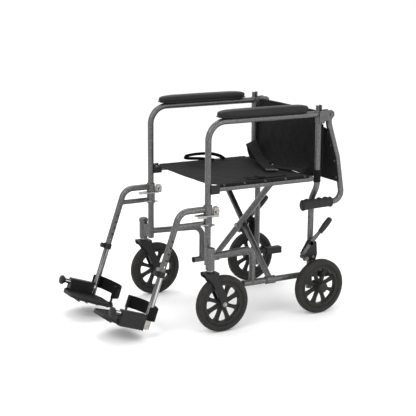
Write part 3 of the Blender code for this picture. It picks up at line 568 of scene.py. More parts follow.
def spoke(angle, centre):
    cx, cy, cz = centre
    out, across = Vector((math.sin(angle), math.cos(angle))), Vector((math.cos(angle), -math.sin(angle)))
    half = [(0.010, 0.0078), (0.022, 0.0070), (0.040, 0.0062), (0.054, 0.0070), (0.061, 0.0090),
        (0.0655, 0.0135), (0.0690, 0.0200)]
    outline = [(r, w) for r, w in half] + [(r, -w) for r, w in half[::-1]]
    rib = [(0.012, 0.0024), (0.064, 0.0020), (0.064, -0.0020), (0.012, -0.0024)]
    flat = [[out * r + across * w for r, w in shape] for shape in (outline, rib)]
    web = prism([(cy + p.x, cz + p.y) for p in flat[0]], "x", cx - 0.0056, cx + 0.0056)
    spine = prism([(cy + p.x, cz + p.y) for p in flat[1]], "x", cx - 0.0078, cx + 0.0078)
    return [web, spine]


def build_wheel(name, body, centre, hub, nodes):
    """One spoked rim and its tyre."""
    ring_profile = [(-0.0090, 0.0660), (-0.0108, 0.0672), (-0.0112, 0.0740), (-0.0096, 0.0752),
        (-0.0096, 0.0785), (-0.0116, 0.0800), (-0.0108, 0.0816),
                    (0.0108, 0.0816), (0.0116, 0.0800), (0.0096, 0.0785), (0.0096, 0.0752), (0.0112, 0.0740),
                    (0.0108, 0.0672), (0.0090, 0.0660)]
    parts = [lathe(ring_profile, centre, "x", 80, True), lathe(hub, centre, "x", 40, hub[0][1] > 0)]
    for k in range(8):
        parts += spoke(2 * math.pi * (k + 0.5) / 8, centre)
    pair(name + "_spoked_rim", fuse(parts), "wheel_plastic", body, [nodes[0]], bevel=0.0006, angle=30)
    base = 0.0818
    tyre = [(-0.0122, base), (-0.0136, 0.0845), (-0.0142, 0.0885), (-0.0139, 0.0925), (-0.0128, 0.0962),
        (-0.0108, 0.0990), (-0.0080, 0.1008), (-0.0042, WHEEL_R)]
    tyre += [(-0.0016, WHEEL_R), (-0.0012, 0.1012), (0.0012, 0.1012), (0.0016, WHEEL_R)]
    tyre += [(-x, r) for x, r in tyre[7::-1]]
    pair(name + "_tread", lathe(tyre, centre, "x", 96, True), "tyre", body, [nodes[1]], angle=50)


def build_wheels():
    """The rear wheels, the casters and the rear axles."""
    rear = (REAR_X, REAR_Y, WHEEL_R)
    hub = [(0.020, 0), (0.020, 0.0066), (-0.034, 0.0066), (-0.034, 0.0135), (-0.032, 0.0150),
        (-0.012, 0.0170), (0.020, 0.0172), (0.0255, 0.0165),
           (0.0262, 0.0185), (0.0275, 0.0192), (0.0300, 0.0186), (0.0322, 0.0150), (0.0330, 0.0080),
           (0.0331, 0)]
    build_wheel("rear", "rear_wheel", rear, hub, ("rear_rim", "rear_tyre"))
    axle = rod((INNER_X + 0.006, REAR_Y, WHEEL_R), (0.258, REAR_Y, WHEEL_R), 0.006)
    nut = rod((INNER_X + 0.0108, REAR_Y, WHEEL_R), (INNER_X + 0.0185, REAR_Y, WHEEL_R), 0.0098, 6)
    inner = rod((INNER_X - 0.0175, REAR_Y, WHEEL_R), (INNER_X - 0.0105, REAR_Y, WHEEL_R), 0.0092, 6)
    pair("rear_spindle", joined([axle, nut, inner]), "chrome", "frame", ["rear_axle"], bevel=0.0004)
    centre = (CASTER_X, CASTER_Y + TRAIL, WHEEL_R)
    hub = [(-0.0165, 0.0056), (-0.0165, 0.0125), (-0.0150, 0.0140), (-0.0080, 0.0165), (0.0080, 0.0165),
        (0.0150, 0.0140), (0.0165, 0.0125), (0.0165, 0.0056)]
    build_wheel("caster", "caster_wheel", centre, hub, ("caster_rim", "caster_tyre"))


def build_fork():
    """The caster fork with its stem and bolt."""
    y, z = CASTER_Y + TRAIL, WHEEL_R
    front = [(-0.2650, 0.2110), (-0.2620, 0.2030), (-0.2500, 0.1960), (-0.2400, 0.1840), (-0.2320, 0.1690),
        (-0.2230, 0.1480), (-0.2120, 0.1260), (-0.2040, 0.1080)]
    foot = [(y + 0.0125 * math.sin(t), z - 0.0125 * math.cos(t)) for t in [math.radians(d) for d in (-70, -35,
        0, 35, 70)]]
    back = [(-0.1765, 0.1140), (-0.1820, 0.1320), (-0.1900, 0.1500), (-0.1990, 0.1680), (-0.2070, 0.1840),
        (-0.2120, 0.2000), (-0.2140, 0.2195), (-0.2650, 0.2195)]
    leg = front + foot + back
    legs = [prism(leg, "x", CASTER_X + a, CASTER_X + a + 0.0042) for a in (-0.0215, 0.0173)]
    lips = []
    for a in (-0.0232, 0.0213):
        rim = [(p[0] + 0.0030, p[1]) for p in front[1:]] + [(p[0] - 0.0008,
            p[1] + 0.0008) for p in front[:0:-1]]
        lips.append(prism(rim, "x", CASTER_X + a, CASTER_X + a + 0.0019))
    crown = box((CASTER_X - 0.0215, CASTER_X + 0.0215), (-0.2622, -0.2135), (0.2130, 0.2195))
    boss = lathe([(0.2190, 0.0), (0.2190, 0.0175), (0.2212, 0.0168), (0.2222, 0.0150), (0.2224, 0.0)],
        (CASTER_X, CASTER_Y, 0), "z", 32)
    pair("caster_yoke", fuse(legs + lips + [crown, boss]), "black_plastic", "caster", ["caster_fork"],
        bevel=0.0008)
    stem = [rod((CASTER_X, CASTER_Y, 0.2215), (CASTER_X, CASTER_Y, 0.2262), 0.0108, 6),
        rod((CASTER_X, CASTER_Y, 0.2255), (CASTER_X, CASTER_Y, 0.2288), 0.0128)]
    stem.append(rod((CASTER_X - 0.0165, y, z), (CASTER_X + 0.0165, y, z), 0.0050))
    for s in (1, -1):
        stem.append(rod((CASTER_X + s * 0.0214, y, z), (CASTER_X + s * 0.0226, y, z), 0.0085))
        stem.append(rod((CASTER_X + s * 0.0224, y, z), (CASTER_X + s * 0.0262, y, z), 0.0066, 6))
    pair("caster_hardware", joined(stem), "chrome", "caster", bevel=0.0004, material="zinc")


# ---------------------------------------------------------------- brace, seat rails

def build_cross():
    """The two crossing tubes, their bolt and the seat rails with end plugs."""
    top, low = Vector((POST_X, 0, SEAT_Z)), Vector((-INNER_X, 0, LOWER_Z))
    z = LOWER_Z + (SEAT_Z - LOWER_Z) * INNER_X / (INNER_X + POST_X)
    for name, node_name, body, y, side in (("cross_bar_a", "cross_tube_a", "cross_a", CROSS_Y[0], 1),
        ("cross_bar_b", "cross_tube_b", "cross_b", CROSS_Y[1], -1)):
        a, b = Vector((low.x * side, y, low.z)), Vector((top.x * side, y, top.z))
        run = (b - a).normalized()
        bar = tube([a + run * 0.004, b - run * 0.004])
        sleeve = rod((a.x, y - 0.019, a.z), (a.x, y + 0.019, a.z), TUBE_R + 0.0038, 32)
        bore = rod((a.x, y - 0.03, a.z), (a.x, y + 0.03, a.z), TUBE_R + 0.0004, 32, 0)
        bead = weld(b, (0, 1, 0), TUBE_R, b - run * 0.03, run, TUBE_R)
        piece(name, joined([fuse([bar, sleeve], [bore]), bead]), "frame_paint", body, [node_name], angle=30)
    shank = [rod((0, CROSS_Y[0] - 0.0145, z), (0, CROSS_Y[1] + 0.0145, z), 0.004)]
    for y0, y1, r, n in ((CROSS_Y[0] - 0.0128, CROSS_Y[0] - 0.0112, 0.0088, 24),
        (CROSS_Y[0] - 0.0170, CROSS_Y[0] - 0.0126, 0.0072, 6),
                         (CROSS_Y[1] + 0.0112, CROSS_Y[1] + 0.0128, 0.0088, 24),
                         (CROSS_Y[1] + 0.0126, CROSS_Y[1] + 0.0170, 0.0072, 6)):
        shank.append(rod((0, y0, z), (0, y1, z), r, n))
    piece("cross_bolt", joined(shank), "zinc", "cross_a", ["pivot_bolt"], bevel=0.0004)
    for side, body in (("left", "cross_a"), ("right", "cross_b")):
        s = SIDES[side]
        bar = tube([(s * POST_X, -0.2115, SEAT_Z), (s * POST_X, 0.2045, SEAT_Z)])
        piece(side + "_seat_bar", bar, "frame_paint", body, [side + "_seat_rail"])
        plugs = [lathe([(w, r) for w, r in ((y - 0.0009 * d, 0.0), (y, 0.0085), (y + 0.002 * d, 0.0108),
            (y + 0.004 * d, 0.0100), (y + 0.004 * d, 0.0))], (s * POST_X, 0, SEAT_Z), "y", 28)
                 for y, d in ((-0.2125, 1), (0.2055, -1))]
        piece(side + "_seat_bar_plugs", joined(plugs), "black_plastic", body)


# ---------------------------------------------------------------- cloth

def ripple(p, scale, depth, seed):
    """Soft directional folds for cloth: slow and fine noise."""
    q = Vector((p[0] * scale[0] + seed, p[1] * scale[1] - seed, p[2] * scale[2]))
    return depth * (0.75 * noise.noise(q) + 0.25 * noise.noise(q * 2.7))


def sheet_solid(grid, thickness):
    """A closed sheet from a grid of (point, normal) rows, with rounded-looking edges."""
    rows, cols = len(grid), len(grid[0])
    verts, faces = [], []
    for sign in (0.5, -0.5):
        for row in grid:
            for p, n in row:
                verts.append(Vector(p) + Vector(n) * thickness * sign)
    half = rows * cols
    for k in range(rows - 1):
        for i in range(cols - 1):
            a, b, c, d = k * cols + i, k * cols + i + 1, (k + 1) * cols + i + 1, (k + 1) * cols + i
            faces += [(a, b, c, d), (half + d, half + c, half + b, half + a)]
    for k in range(rows - 1):
        for i in (0, cols - 1):
            a, d = k * cols + i, (k + 1) * cols + i
            faces.append((a, d, half + d, half + a) if i == 0 else (d, a, half + a, half + d))
    for i in range(cols - 1):
        for k in (0, rows - 1):
            a, b = k * cols + i, k * cols + i + 1
            faces.append((b, a, half + a, half + b) if k == 0 else (a, b, half + b, half + a))
    return solid(verts, faces)


def with_normals(points):
    """Adds a unit normal to each point of a grid from its neighbours."""
    rows, cols = len(points), len(points[0])
    out = []
    for k in range(rows):
        row = []
        for i in range(cols):
            u = Vector(points[k][min(i + 1, cols - 1)]) - Vector(points[k][max(i - 1, 0)])
            v = Vector(points[min(k + 1, rows - 1)][i]) - Vector(points[max(k - 1, 0)][i])
            row.append((points[k][i], u.cross(v).normalized()))
        out.append(row)
    return out


def screw(base, way, rise, radius):
    """A washer with a small domed head standing on it."""
    head_top = base + way * (rise + 0.0012)
    return [rod(base, base + way * rise, radius, 20, 0.0002), rod(base, head_top, 0.0030, 16, 0.0007)]


def build_seat():
    """Each half of the sling: it dips to the middle, wraps its rail and carries a hemmed front edge."""
    wrap = TUBE_R + 0.0024
    cols_flat, cols_wrap, rows = 34, 10, 56
    y0, y1 = -0.2095, 0.184
    grid = []
    for k in range(rows + 1):
        y = y0 + (y1 - y0) * k / rows
        row = []
        for i in range(cols_flat + cols_wrap + 1):
            if i <= cols_flat:
                x = POST_X * i / cols_flat
                sag = (-0.0075 * (1 - (x / POST_X) ** 2)
                       * (0.35 + 0.65 * math.sin(math.pi * (k / rows) ** 0.8)))
                fold = ripple((x, y, 0), (9, 26, 1), 0.0024, 3.1) + ripple((x, y, 0), (40, 7, 1), 0.0016,
                    8.2) * (x / POST_X) ** 2
                z = SEAT_Z + wrap + sag + fold * min(1, x / 0.03) * min(1, (POST_X - x) / 0.02)
                row.append(Vector((x, y, z)))
            else:
                a = math.radians(90 - 66 * (i - cols_flat) / cols_wrap)
                row.append(Vector((POST_X + wrap * math.cos(a), max(y, -0.186), SEAT_Z + wrap * math.sin(a))))
        grid.append(row)
    for row in grid:
        if row[0].y < -0.1865:
            for i, p in enumerate(row):
                if p.x > 0.2005:
                    row[i] = Vector((p.x, -0.1865 + (row[0].y + 0.1865) * 0.004, p.z))
    sheets = pair("seat_sling", sheet_solid(with_normals(grid), 0.0026), "nylon", "seat", ["seat_panel"],
        angle=60)
    hem = []
    for y, x0, x1 in ((-0.2015, 0.004, 0.196), (-0.1965, 0.004, 0.196)):
        hem.append(stitches([(x0 + (x1 - x0) * t / 40, y) for t in range(41)], wrap + 0.0012))
    for x in (0.1985, 0.2035):
        hem.append(stitches([(x, -0.184 + 0.36 * t / 60) for t in range(61)], wrap + 0.0014))
    pair("seat_stitching", joined(hem), "nylon", "seat", material="thread")
    screws = []
    for y in (-0.168, -0.085, 0.0, 0.085, 0.168):
        a = math.radians(52)
        base = Vector((POST_X + (wrap + 0.0012) * math.cos(a), y, SEAT_Z + (wrap + 0.0012) * math.sin(a)))
        n = Vector((math.cos(a), 0, math.sin(a)))
        screws += screw(base, n, 0.0005, 0.0048)
    pair("seat_screws", joined(screws), "zinc", "seat", material="dark_zinc")


def seat_height(x, y):
    t = (y + 0.2095) / (0.184 + 0.2095)
    sag = -0.0075 * (1 - (x / POST_X) ** 2) * (0.35 + 0.65 * math.sin(math.pi * max(t, 0.0) ** 0.8))
    return SEAT_Z + TUBE_R + 0.0024 + 0.0013 + sag


def stitches(points, lift):
    """A row of short raised stitches along seat points (x, y)."""
    parts = []
    for (x0, y0), (x1, y1) in zip(points[::1], points[1::1]):
        a, b = Vector((x0, y0, 0)), Vector((x1, y1, 0))
        a.z = seat_height(x0, y0) + ripple((x0, y0, 0), (9, 26, 1), 0.0024, 3.1) + ripple((x0, y0, 0),
            (40, 7, 1), 0.0016, 8.2) * (x0 / POST_X) ** 2
        b.z = seat_height(x1, y1) + ripple((x1, y1, 0), (9, 26, 1), 0.0024, 3.1) + ripple((x1, y1, 0),
            (40, 7, 1), 0.0016, 8.2) * (x1 / POST_X) ** 2
        mid = (b - a) * 0.16
        parts.append(rod(a + mid, b - mid, 0.00045, 6, 0.0001))
    return joined(parts)


def draped(line, half, belly, sway, seed, cols=44):
    """A grid across the chair: a (y, z) line swept from side to side with a belly and folds."""
    grid = []
    for k, q in enumerate(line):
        t = k / (len(line) - 1)
        row = []
        for i in range(-(cols // 2), cols // 2 + 1):
            u = i / (cols // 2)
            x = u * (half(q.z) if callable(half) else half)
            depth = belly * (1 - u * u) * (0.4 + 0.6 * math.sin(math.pi * t))
            fold = ripple((x, q.z, q.y), (8, 20, 8), sway, seed) + ripple((x + q.z * 0.7, q.z - x * 0.5, 0),
                (30, 9, 1), sway * 0.6, seed + 4)
            row.append(Vector((x, q.y + depth + fold * (1 - u ** 4), q.z)))
        grid.append(row)
    return grid


def back_line(points, count):
    return resample([Vector((0, y, z)) for y, z in points], count)


def step_down(z, edge, depth, run):
    """How far a side edge pulls in above a height, over a short run."""
    return depth * min(1, max(0, (z - edge) / run))


def build_back():
    """The lower sling behind the posts, and the upper one folded over and hung before the canes."""
    y = CLOTH_Y

    def wide(z):
        return 0.2285 - step_down(z, 0.7000, 0.0325, 0.0035) - step_down(-z, -0.5375, 0.0325, 0.003)

    def narrow(z):
        return 0.2280 - step_down(z, 0.6800, 0.0320, 0.004)

    line = back_line([(y, 0.5010), (y, 0.5600), (y, 0.6200), (y, 0.6800), (y, 0.7060), (y, 0.7330)], 62)
    lower = [sheet_solid(with_normals(draped(line, wide, -0.0120, 0.0036, 1.7)), 0.0026)]
    back = piece("back_sling", joined(lower), "nylon", "right_frame", ["back_lower"], angle=60)
    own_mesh(back)
    fold = [(y + 0.0040, 0.7240), (y + 0.0046, 0.7330), (y + 0.0080, 0.7385), (y + 0.0125, 0.7400),
        (y + 0.0165, 0.7370), (y + 0.0178, 0.7250)]
    down = [(0.2720, 0.6980), (0.2915, 0.6380), (0.3130, 0.5720), (0.3210, 0.5270), (0.3283, 0.4820)]
    hang = [(cane - FLAP_AHEAD, z) for cane, z in down]
    grid = draped(back_line(fold + hang, 90), narrow, 0.0060, 0.0034, 9.4)
    back = piece("back_flap", sheet_solid(with_normals(grid), 0.0030), "nylon", "right_cane", ["back_upper"],
        angle=60)
    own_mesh(back)
    screws = []
    for z in (0.500, 0.560, 0.620, 0.668):
        base = Vector((POST_X + 0.0035, cane_y(z) - FLAP_AHEAD - 0.0014, z))
        screws += screw(base, Vector((0, -1, 0)), 0.0006, 0.0046)
    pair("flap_screws", joined(screws), "zinc", "cane", material="dark_zinc")


def cane_y(z):
    """Where the folded cane stands at a height."""
    marks = [(0.410, 0.3405), (0.572, 0.3130), (0.698, 0.2720), (0.744, 0.2720)]
    for (z0, y0), (z1, y1) in zip(marks, marks[1:]):
        if z <= z1:
            return y0 + (y1 - y0) * (z - z0) / (z1 - z0)
    return marks[-1][1]


def resample(points, count):
    """Points spread evenly along a smooth curve through the given ones."""
    dense = []
    n = len(points)
    for k in range(n - 1):
        p0, p1, p2, p3 = points[max(k - 1, 0)], points[k], points[k + 1], points[min(k + 2, n - 1)]
        for s in range(24):
            t = s / 24
            dense.append(0.5 * ((2 * p1) + (p2 - p0) * t + (2 * p0 - 5 * p1 + 4 * p2 - p3) * t * t
                                + (3 * p1 - p0 - 3 * p2 + p3) * t ** 3))
    dense.append(points[-1])
    lengths = [0.0]
    for a, b in zip(dense, dense[1:]):
        lengths.append(lengths[-1] + (b - a).length)
    out, k = [], 0
    for i in range(count):
        want = lengths[-1] * i / (count - 1)
        while k < len(lengths) - 2 and lengths[k + 1] < want:
            k += 1
        span = lengths[k + 1] - lengths[k]
        t = (want - lengths[k]) / span if span else 0.0
        out.append(dense[k].lerp(dense[k + 1], min(max(t, 0), 1)))
    return out


def strap(stations, width, thick, count=44):
    """Webbing through (centre, width direction) stations: a flat section swept along a curve."""
    centres = resample([Vector(s[0]) for s in stations], count)
    anchor = [Vector(s[0]) for s in stations]
    marks = [0.0]
    for a, b in zip(anchor, anchor[1:]):
        marks.append(marks[-1] + (b - a).length)
    rings = []
    for i, p in enumerate(centres):
        want = marks[-1] * i / (count - 1)
        k = max(j for j in range(len(marks) - 1) if marks[j] <= want + 1e-9)
        t = (want - marks[k]) / (marks[k + 1] - marks[k])
        t = t * t * (3 - 2 * t)
        w = Vector(stations[k][1]).normalized().lerp(Vector(stations[k + 1][1]).normalized(), t)
        d = (centres[min(i + 1, count - 1)] - centres[max(i - 1, 0)]).normalized()
        w = (w - d * w.dot(d)).normalized()
        n = d.cross(w)
        section = [(-1, -0.3), (-0.97, -1), (0.97, -1), (1, -0.3), (1, 0.3), (0.97, 1), (0.35, 1), (0, 1),
            (-0.35, 1), (-0.97, 1), (-1, 0.3)]
        rings.append([p + w * (width / 2 * u) + n * (thick / 2 * v) for u, v in section])
    return loft(rings)


def band_round_post(x, y, low, high):
    r0, r1 = TUBE_R + 0.0003, TUBE_R + 0.0021
    return lathe([(low, r0), (low, r1), (high, r1), (high, r0)], (x, y, 0), "z", 36, True)


def build_belts():
    """The lap belt: a band round each rear post, a near half, a far half and its metal tip."""
    near = [((0.2085, 0.2155, 0.5110), (0, 0, 1)), ((0.1985, 0.2080, 0.5200), (0, 0.25, 0.97)),
        ((0.1800, 0.1990, 0.5290), (0, 0.85, 0.5)),
            ((0.1400, 0.1900, 0.5245), (0, 1, 0.1)), ((0.0800, 0.1770, 0.5205), (0, 1, 0.02)),
            ((-0.0120, 0.1580, 0.5180), (0, 1, 0))]
    belt = joined([band_round_post(POST_X, POST_Y, *BELT_BAND), strap(near, BELT_WIDE, WEB_THICK)])
    belt = piece("left_lap_belt", belt, "webbing", "left_frame", ["left_belt"], angle=40)
    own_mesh(belt)
    far = [((-0.2085, 0.2155, 0.5110), (0, 0, 1)), ((-0.1985, 0.2060, 0.5300), (0.1, 0.2, 0.97)),
        ((-0.1780, 0.1880, 0.5660), (0.05, 0.72, 0.69)),
           ((-0.1450, 0.1680, 0.5850), (-0.1, 0.93, 0.35)), ((-0.0850, 0.1480, 0.5680), (-0.2, 0.97, 0.05)),
           ((-0.0200, 0.1330, 0.5430), (-0.28, 0.96, 0)),
           ((0.0450, 0.1180, 0.5290), (-0.3, 0.95, 0)), ((0.1050, 0.1060, 0.5240), (-0.32, 0.94, 0))]
    belt = joined([band_round_post(-POST_X, POST_Y, *BELT_BAND), strap(far, BELT_WIDE, WEB_THICK, 64)])
    belt = piece("right_lap_belt", belt, "webbing", "right_frame", ["right_belt"], angle=40)
    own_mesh(belt)
    tip = [((0.0985, 0.1075, 0.5252), (-0.32, 0.94, 0)), ((0.1100, 0.1050, 0.5244), (-0.32, 0.94, 0))]
    end = piece("belt_tip", strap(tip, 0.0460, 0.0034, 6), "zinc", "right_frame", angle=30, bevel=0.0004)
    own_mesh(end)
    build_seat_straps()


def build_seat_straps():
    """Two thin straps: one flat along the left edge with a buckle, one arched over the right."""
    flat = [((0.1930, 0.1060, 0.5205), (1, 0, 0)), ((0.1960, 0.0400, 0.5200), (1, 0, 0)),
        ((0.2000, -0.0200, 0.5205), (1, 0, 0)), ((0.1990, -0.0480, 0.5215), (1, 0, 0.1)),
            ((0.1850, -0.0560, 0.5240), (0.6, -0.8, 0)), ((0.1750, -0.0420, 0.5225), (0.9, 0.3, 0)),
            ((0.1800, 0.0250, 0.5200), (1, 0, 0))]
    buckle = [((0.1870, -0.0100, 0.5235), (1, 0, 0)), ((0.1870, 0.0150, 0.5235), (1, 0, 0))]
    piece("left_seat_strap", joined([strap(flat, 0.0120, 0.0016, 70), strap(buckle, 0.0300, 0.0045, 6)]),
        "webbing", "left_seat", angle=40)
    arch = [((-0.1960, 0.0800, 0.5180), (0.6, 0, 0.8)), ((-0.1960, 0.0560, 0.5330), (0.6, 0.1, 0.8)),
        ((-0.1960, 0.0150, 0.5440), (0.6, 0, 0.8)), ((-0.1960, -0.0400, 0.5470), (0.6, 0, 0.8)),
            ((-0.1960, -0.0850, 0.5440), (0.6, 0, 0.8)), ((-0.1960, -0.0960, 0.5395), (0.6, 0, 0.8)),
            ((-0.1930, -0.0800, 0.5340), (0.6, 0, 0.8)), ((-0.1920, -0.0300, 0.5290), (0.6, 0, 0.8)),
            ((-0.1920, 0.0300, 0.5190), (0.6, 0, 0.8))]
    piece("right_seat_strap", strap(arch, 0.0150, 0.0022, 80), "webbing", "right_seat", angle=40)


# ---------------------------------------------------------------- canes and grips

def build_canes():
    """The folded push canes and their finger-shaped grips."""
    path = [(POST_X, y, z) for y, z in ((0.272, 0.744), (0.272, 0.698), (0.313, 0.572), (0.3405, 0.410),
        (0.172, 0.4085))]
    pair("cane_tube", tube(path, bend=0.034, steps=12), "frame_paint", "cane", ["push_cane"])
    rings = []
    y0, y1, z = 0.2930, 0.1620, 0.4090
    rows, count = 76, 36
    for k in range(rows + 1):
        t = k / rows
        y = y0 + (y1 - y0) * t
        ends = min(1.0, math.sqrt(max(0.0, 1 - (1 - t / 0.03) ** 2)) if t < 0.03 else 1.0)
        tail = math.sqrt(max(0.0, 1 - ((t - 0.97) / 0.03) ** 2)) if t > 0.97 else 1.0
        collar = 0.0022 * math.exp(-((t - 0.045) / 0.035) ** 2) + 0.0016 * math.exp(-((t - 0.95) / 0.03) ** 2)
        finger = 0.0042 * (0.5 - 0.5 * math.cos(2 * math.pi * (t - 0.10) / 0.205)) if 0.10 < t < 0.92 else 0.0
        row = []
        for i in range(count):
            a = 2 * math.pi * i / count
            up = max(0.0, math.sin(a))
            r = 0.0166 + collar + finger * up ** 0.7 + (0.0012 + 0.0040 * t ** 2) * max(0.0, -math.sin(a))
            r = 0.0114 + (r - 0.0114) * ends if t < 0.5 else r * max(tail, 0.25)
            row.append((POST_X + r * math.cos(a), y, z + r * math.sin(a)))
        rings.append(row)
    pair("hand_grip", loft(rings), "rubber", "cane", ["grip"], angle=60)


# ---------------------------------------------------------------- footrests

DOWN = (EXTENSION_FOOT - HANGER_FOOT).normalized()
REACH = (EXTENSION_FOOT - HANGER_FOOT).length


def on_tube(distance, side=0.0, x=0.0):
    across = Vector((DOWN.y, -DOWN.x))
    p = EXTENSION_FOOT - DOWN * distance + across * side
    return Vector((POST_X + x, p.x, p.y))


def plate_frame():
    origin = on_tube(0.036)
    forward, up = Vector((0, DOWN.y, -DOWN.x)), Vector((0, -DOWN.x, -DOWN.y))
    m = Matrix.Identity(4)
    for row in range(3):
        m[row][0], m[row][1], m[row][2], m[row][3] = (1.0, 0.0, 0.0)[row], forward[row], up[row], origin[row]
    return m


def build_hanger():
    """The swing-away footrest tube with its strut, welds, holes and clamp."""
    knee = HANGER_FOOT - DOWN * ((HANGER_TOP_Z - HANGER_FOOT.y) / -DOWN.y)
    bar = ((POST_X, -POST_Y, 0), (0, 0, 1))
    path = [(POST_X, -POST_Y - 0.0150, HANGER_TOP_Z), (POST_X, knee.x, HANGER_TOP_Z),
        (POST_X, HANGER_FOOT.x, HANGER_FOOT.y)]
    main = tube(path, bend=0.045, steps=12)
    bore = rod(on_tube(REACH - 0.01), on_tube(REACH + 0.139), 0.0098, 32, 0)
    holes = [rod(on_tube(REACH + d, 0, -0.02), on_tube(REACH + d, 0, 0.02), 0.0034, 16, 0) for d in (0.034,
        0.057, 0.080, 0.103, 0.126)]
    strut_y = HANGER_FOOT.x - DOWN.x * ((0.385 - HANGER_FOOT.y) / -DOWN.y)
    sections = []
    for y, wide, tall in ((strut_y + 0.004, 1, 1), (-0.300, 1, 1), (-0.278, 0.95, 1.0), (-0.262, 0.62, 1.02),
        (-0.250, 0.34, 1.02), (-0.2440, 0.30, 1.02)):
        sections.append([(POST_X + 0.0088 * wide * math.cos(2 * math.pi * i / 28), y,
            0.385 + 0.0088 * tall * math.sin(2 * math.pi * i / 28)) for i in range(28)])
    beads = [weld(*bar, 0.0153, (POST_X, -POST_Y - 0.04, HANGER_TOP_Z), (0, 1, 0), TUBE_R),
             weld(on_tube(REACH), (0, DOWN.x, DOWN.y), TUBE_R, (POST_X, strut_y + 0.04, 0.385), (0, -1, 0),
             0.0088)]
    pair("hanger_tube", joined([fuse([main, loft(sections)], [bore] + holes)] + beads), "frame_paint",
        "hanger", ["hanger"], angle=30)
    clamp = tube([on_tube(REACH - 0.004), on_tube(REACH + 0.017)], 0.0146, chamfer=0.0012)
    lug = fuse([rod(on_tube(REACH + 0.0065, 0.006), on_tube(REACH + 0.0065, 0.0185), 0.0062),
        rod(on_tube(REACH + 0.0065, 0.017), on_tube(REACH + 0.0065, 0.0275), 0.0092, 10)])
    pair("hanger_clamp", joined([fuse([clamp],
        [rod(on_tube(REACH - 0.02), on_tube(REACH + 0.03), 0.0113, 32, 0)]), lug]), "black_plastic", "hanger",
        bevel=0.0006)
    build_latch()


def build_latch():
    """The sleeve that the hanger turns on, and its latch plates."""
    x, y = POST_X, -POST_Y
    sleeve = lathe([(0.3720, 0.0115), (0.3720, 0.0146), (0.3732, 0.0153), (0.4468, 0.0153), (0.4480, 0.0146),
        (0.4480, 0.0115)], (x, y, 0), "z", 36, True)
    pair("hanger_sleeve", sleeve, "frame_paint", "hanger", ["hanger_bracket"], angle=30)
    outline = [(x - 0.0095, y - 0.048), (x + 0.0095, y - 0.048), (x + 0.0125, y - 0.040),
        (x + 0.0165, y - 0.016), (x + 0.0185, y), (x + 0.0165, y + 0.014),
               (x + 0.0095, y + 0.041), (x - 0.0095, y + 0.041), (x - 0.0165, y + 0.014), (x - 0.0185, y),
               (x - 0.0165, y - 0.016), (x - 0.0125, y - 0.040)]
    plate = prism(outline, "z", 0.4115, 0.4150)
    flange = box((x + 0.0095, x + 0.0118), (y - 0.044, y + 0.040), (0.4050, 0.4150))
    tongue = prism([(y + 0.018, 0.4120), (y + 0.041, 0.4120), (y + 0.043, 0.4290), (y + 0.038, 0.4400),
        (y + 0.026, 0.4400), (y + 0.020, 0.4280)], "x", x - 0.0085, x + 0.0085)
    lower = prism([(x - 0.009, y + 0.010), (x + 0.009, y + 0.010), (x + 0.0075, y + 0.027),
        (x - 0.0075, y + 0.027)], "z", 0.3745, 0.3775)
    tab = prism([(x - 0.004, y - 0.030), (x + 0.004, y - 0.030), (x + 0.0150, y - 0.006),
        (x - 0.0150, y - 0.006)], "z", 0.3790, 0.3825)
    hole = rod((x, y, 0.36), (x, y, 0.46), 0.0152, 36, 0)
    bolt = rod((x - 0.0125, y + 0.032, 0.4225), (x + 0.0125, y + 0.032, 0.4225), 0.0035, 16)
    heads = [rod((x + a, y + 0.032, 0.4225), (x + b, y + 0.032, 0.4225), 0.0060, 6) for a,
        b in ((0.0105, 0.0140), (-0.0140, -0.0105))]
    pair("hanger_latch", joined([fuse([plate, flange, tongue, lower, tab], [hole]), bolt] + heads), "zinc",
        "hanger", bevel=0.0006)


def build_extension():
    """The plated telescopic tube with the footplate's pivot, knob and clip."""
    m = plate_frame()
    stem = tube([on_tube(0.0), on_tube(REACH + 0.055)], 0.0094, chamfer=0.0008)
    flutes = [rod(on_tube(0.05 + 0.0, 0.0094 * math.sin(a), 0.0094 * math.cos(a)),
        on_tube(REACH + 0.03, 0.0094 * math.sin(a), 0.0094 * math.cos(a)), 0.0011, 8, 0.0003)
              for a in [2 * math.pi * k / 12 + 0.2 for k in range(12)]]
    pair("extension_tube", joined([stem] + flutes), "chrome", "extension", ["extension"], angle=30)
    pivot = rod(m @ Vector((0, 0.001, 0)), m @ Vector((0, 0.1330, 0)), 0.0094, 32)
    pair("extension_pivot", pivot, "chrome", "extension", material="chrome_bar")
    knob = [(0.1300, 0.0), (0.1300, 0.0112), (0.1345, 0.0116), (0.1352, 0.0140), (0.1362, 0.0160),
        (0.1392, 0.0167), (0.1430, 0.0164), (0.1460, 0.0145), (0.1476, 0.0100), (0.1480, 0.0)]
    pair("extension_knob", moved(lathe(knob, (0, 0, 0), "y", 40), m), "black_plastic", "extension", angle=40)
    ear = [(-0.0112, -0.0130), (0.0112, -0.0130), (0.0112, 0.0030), (0.0060, 0.0115), (-0.0060, 0.0115),
        (-0.0112, 0.0030)]
    clip = [moved(prism([(x, z - 0.018) for x, z in ear], "y", w, w + 0.0022), m) for w in (0.0096,)]
    clip.append(moved(box((-0.0112, 0.0112), (-0.0100, 0.0118), (-0.0340, -0.0312)), m))
    clip.append(moved(box((0.0098, 0.0124), (-0.0100, 0.0118), (-0.0340, 0.0010)), m))
    pair("extension_clip", joined(clip), "zinc", "extension", bevel=0.0005)


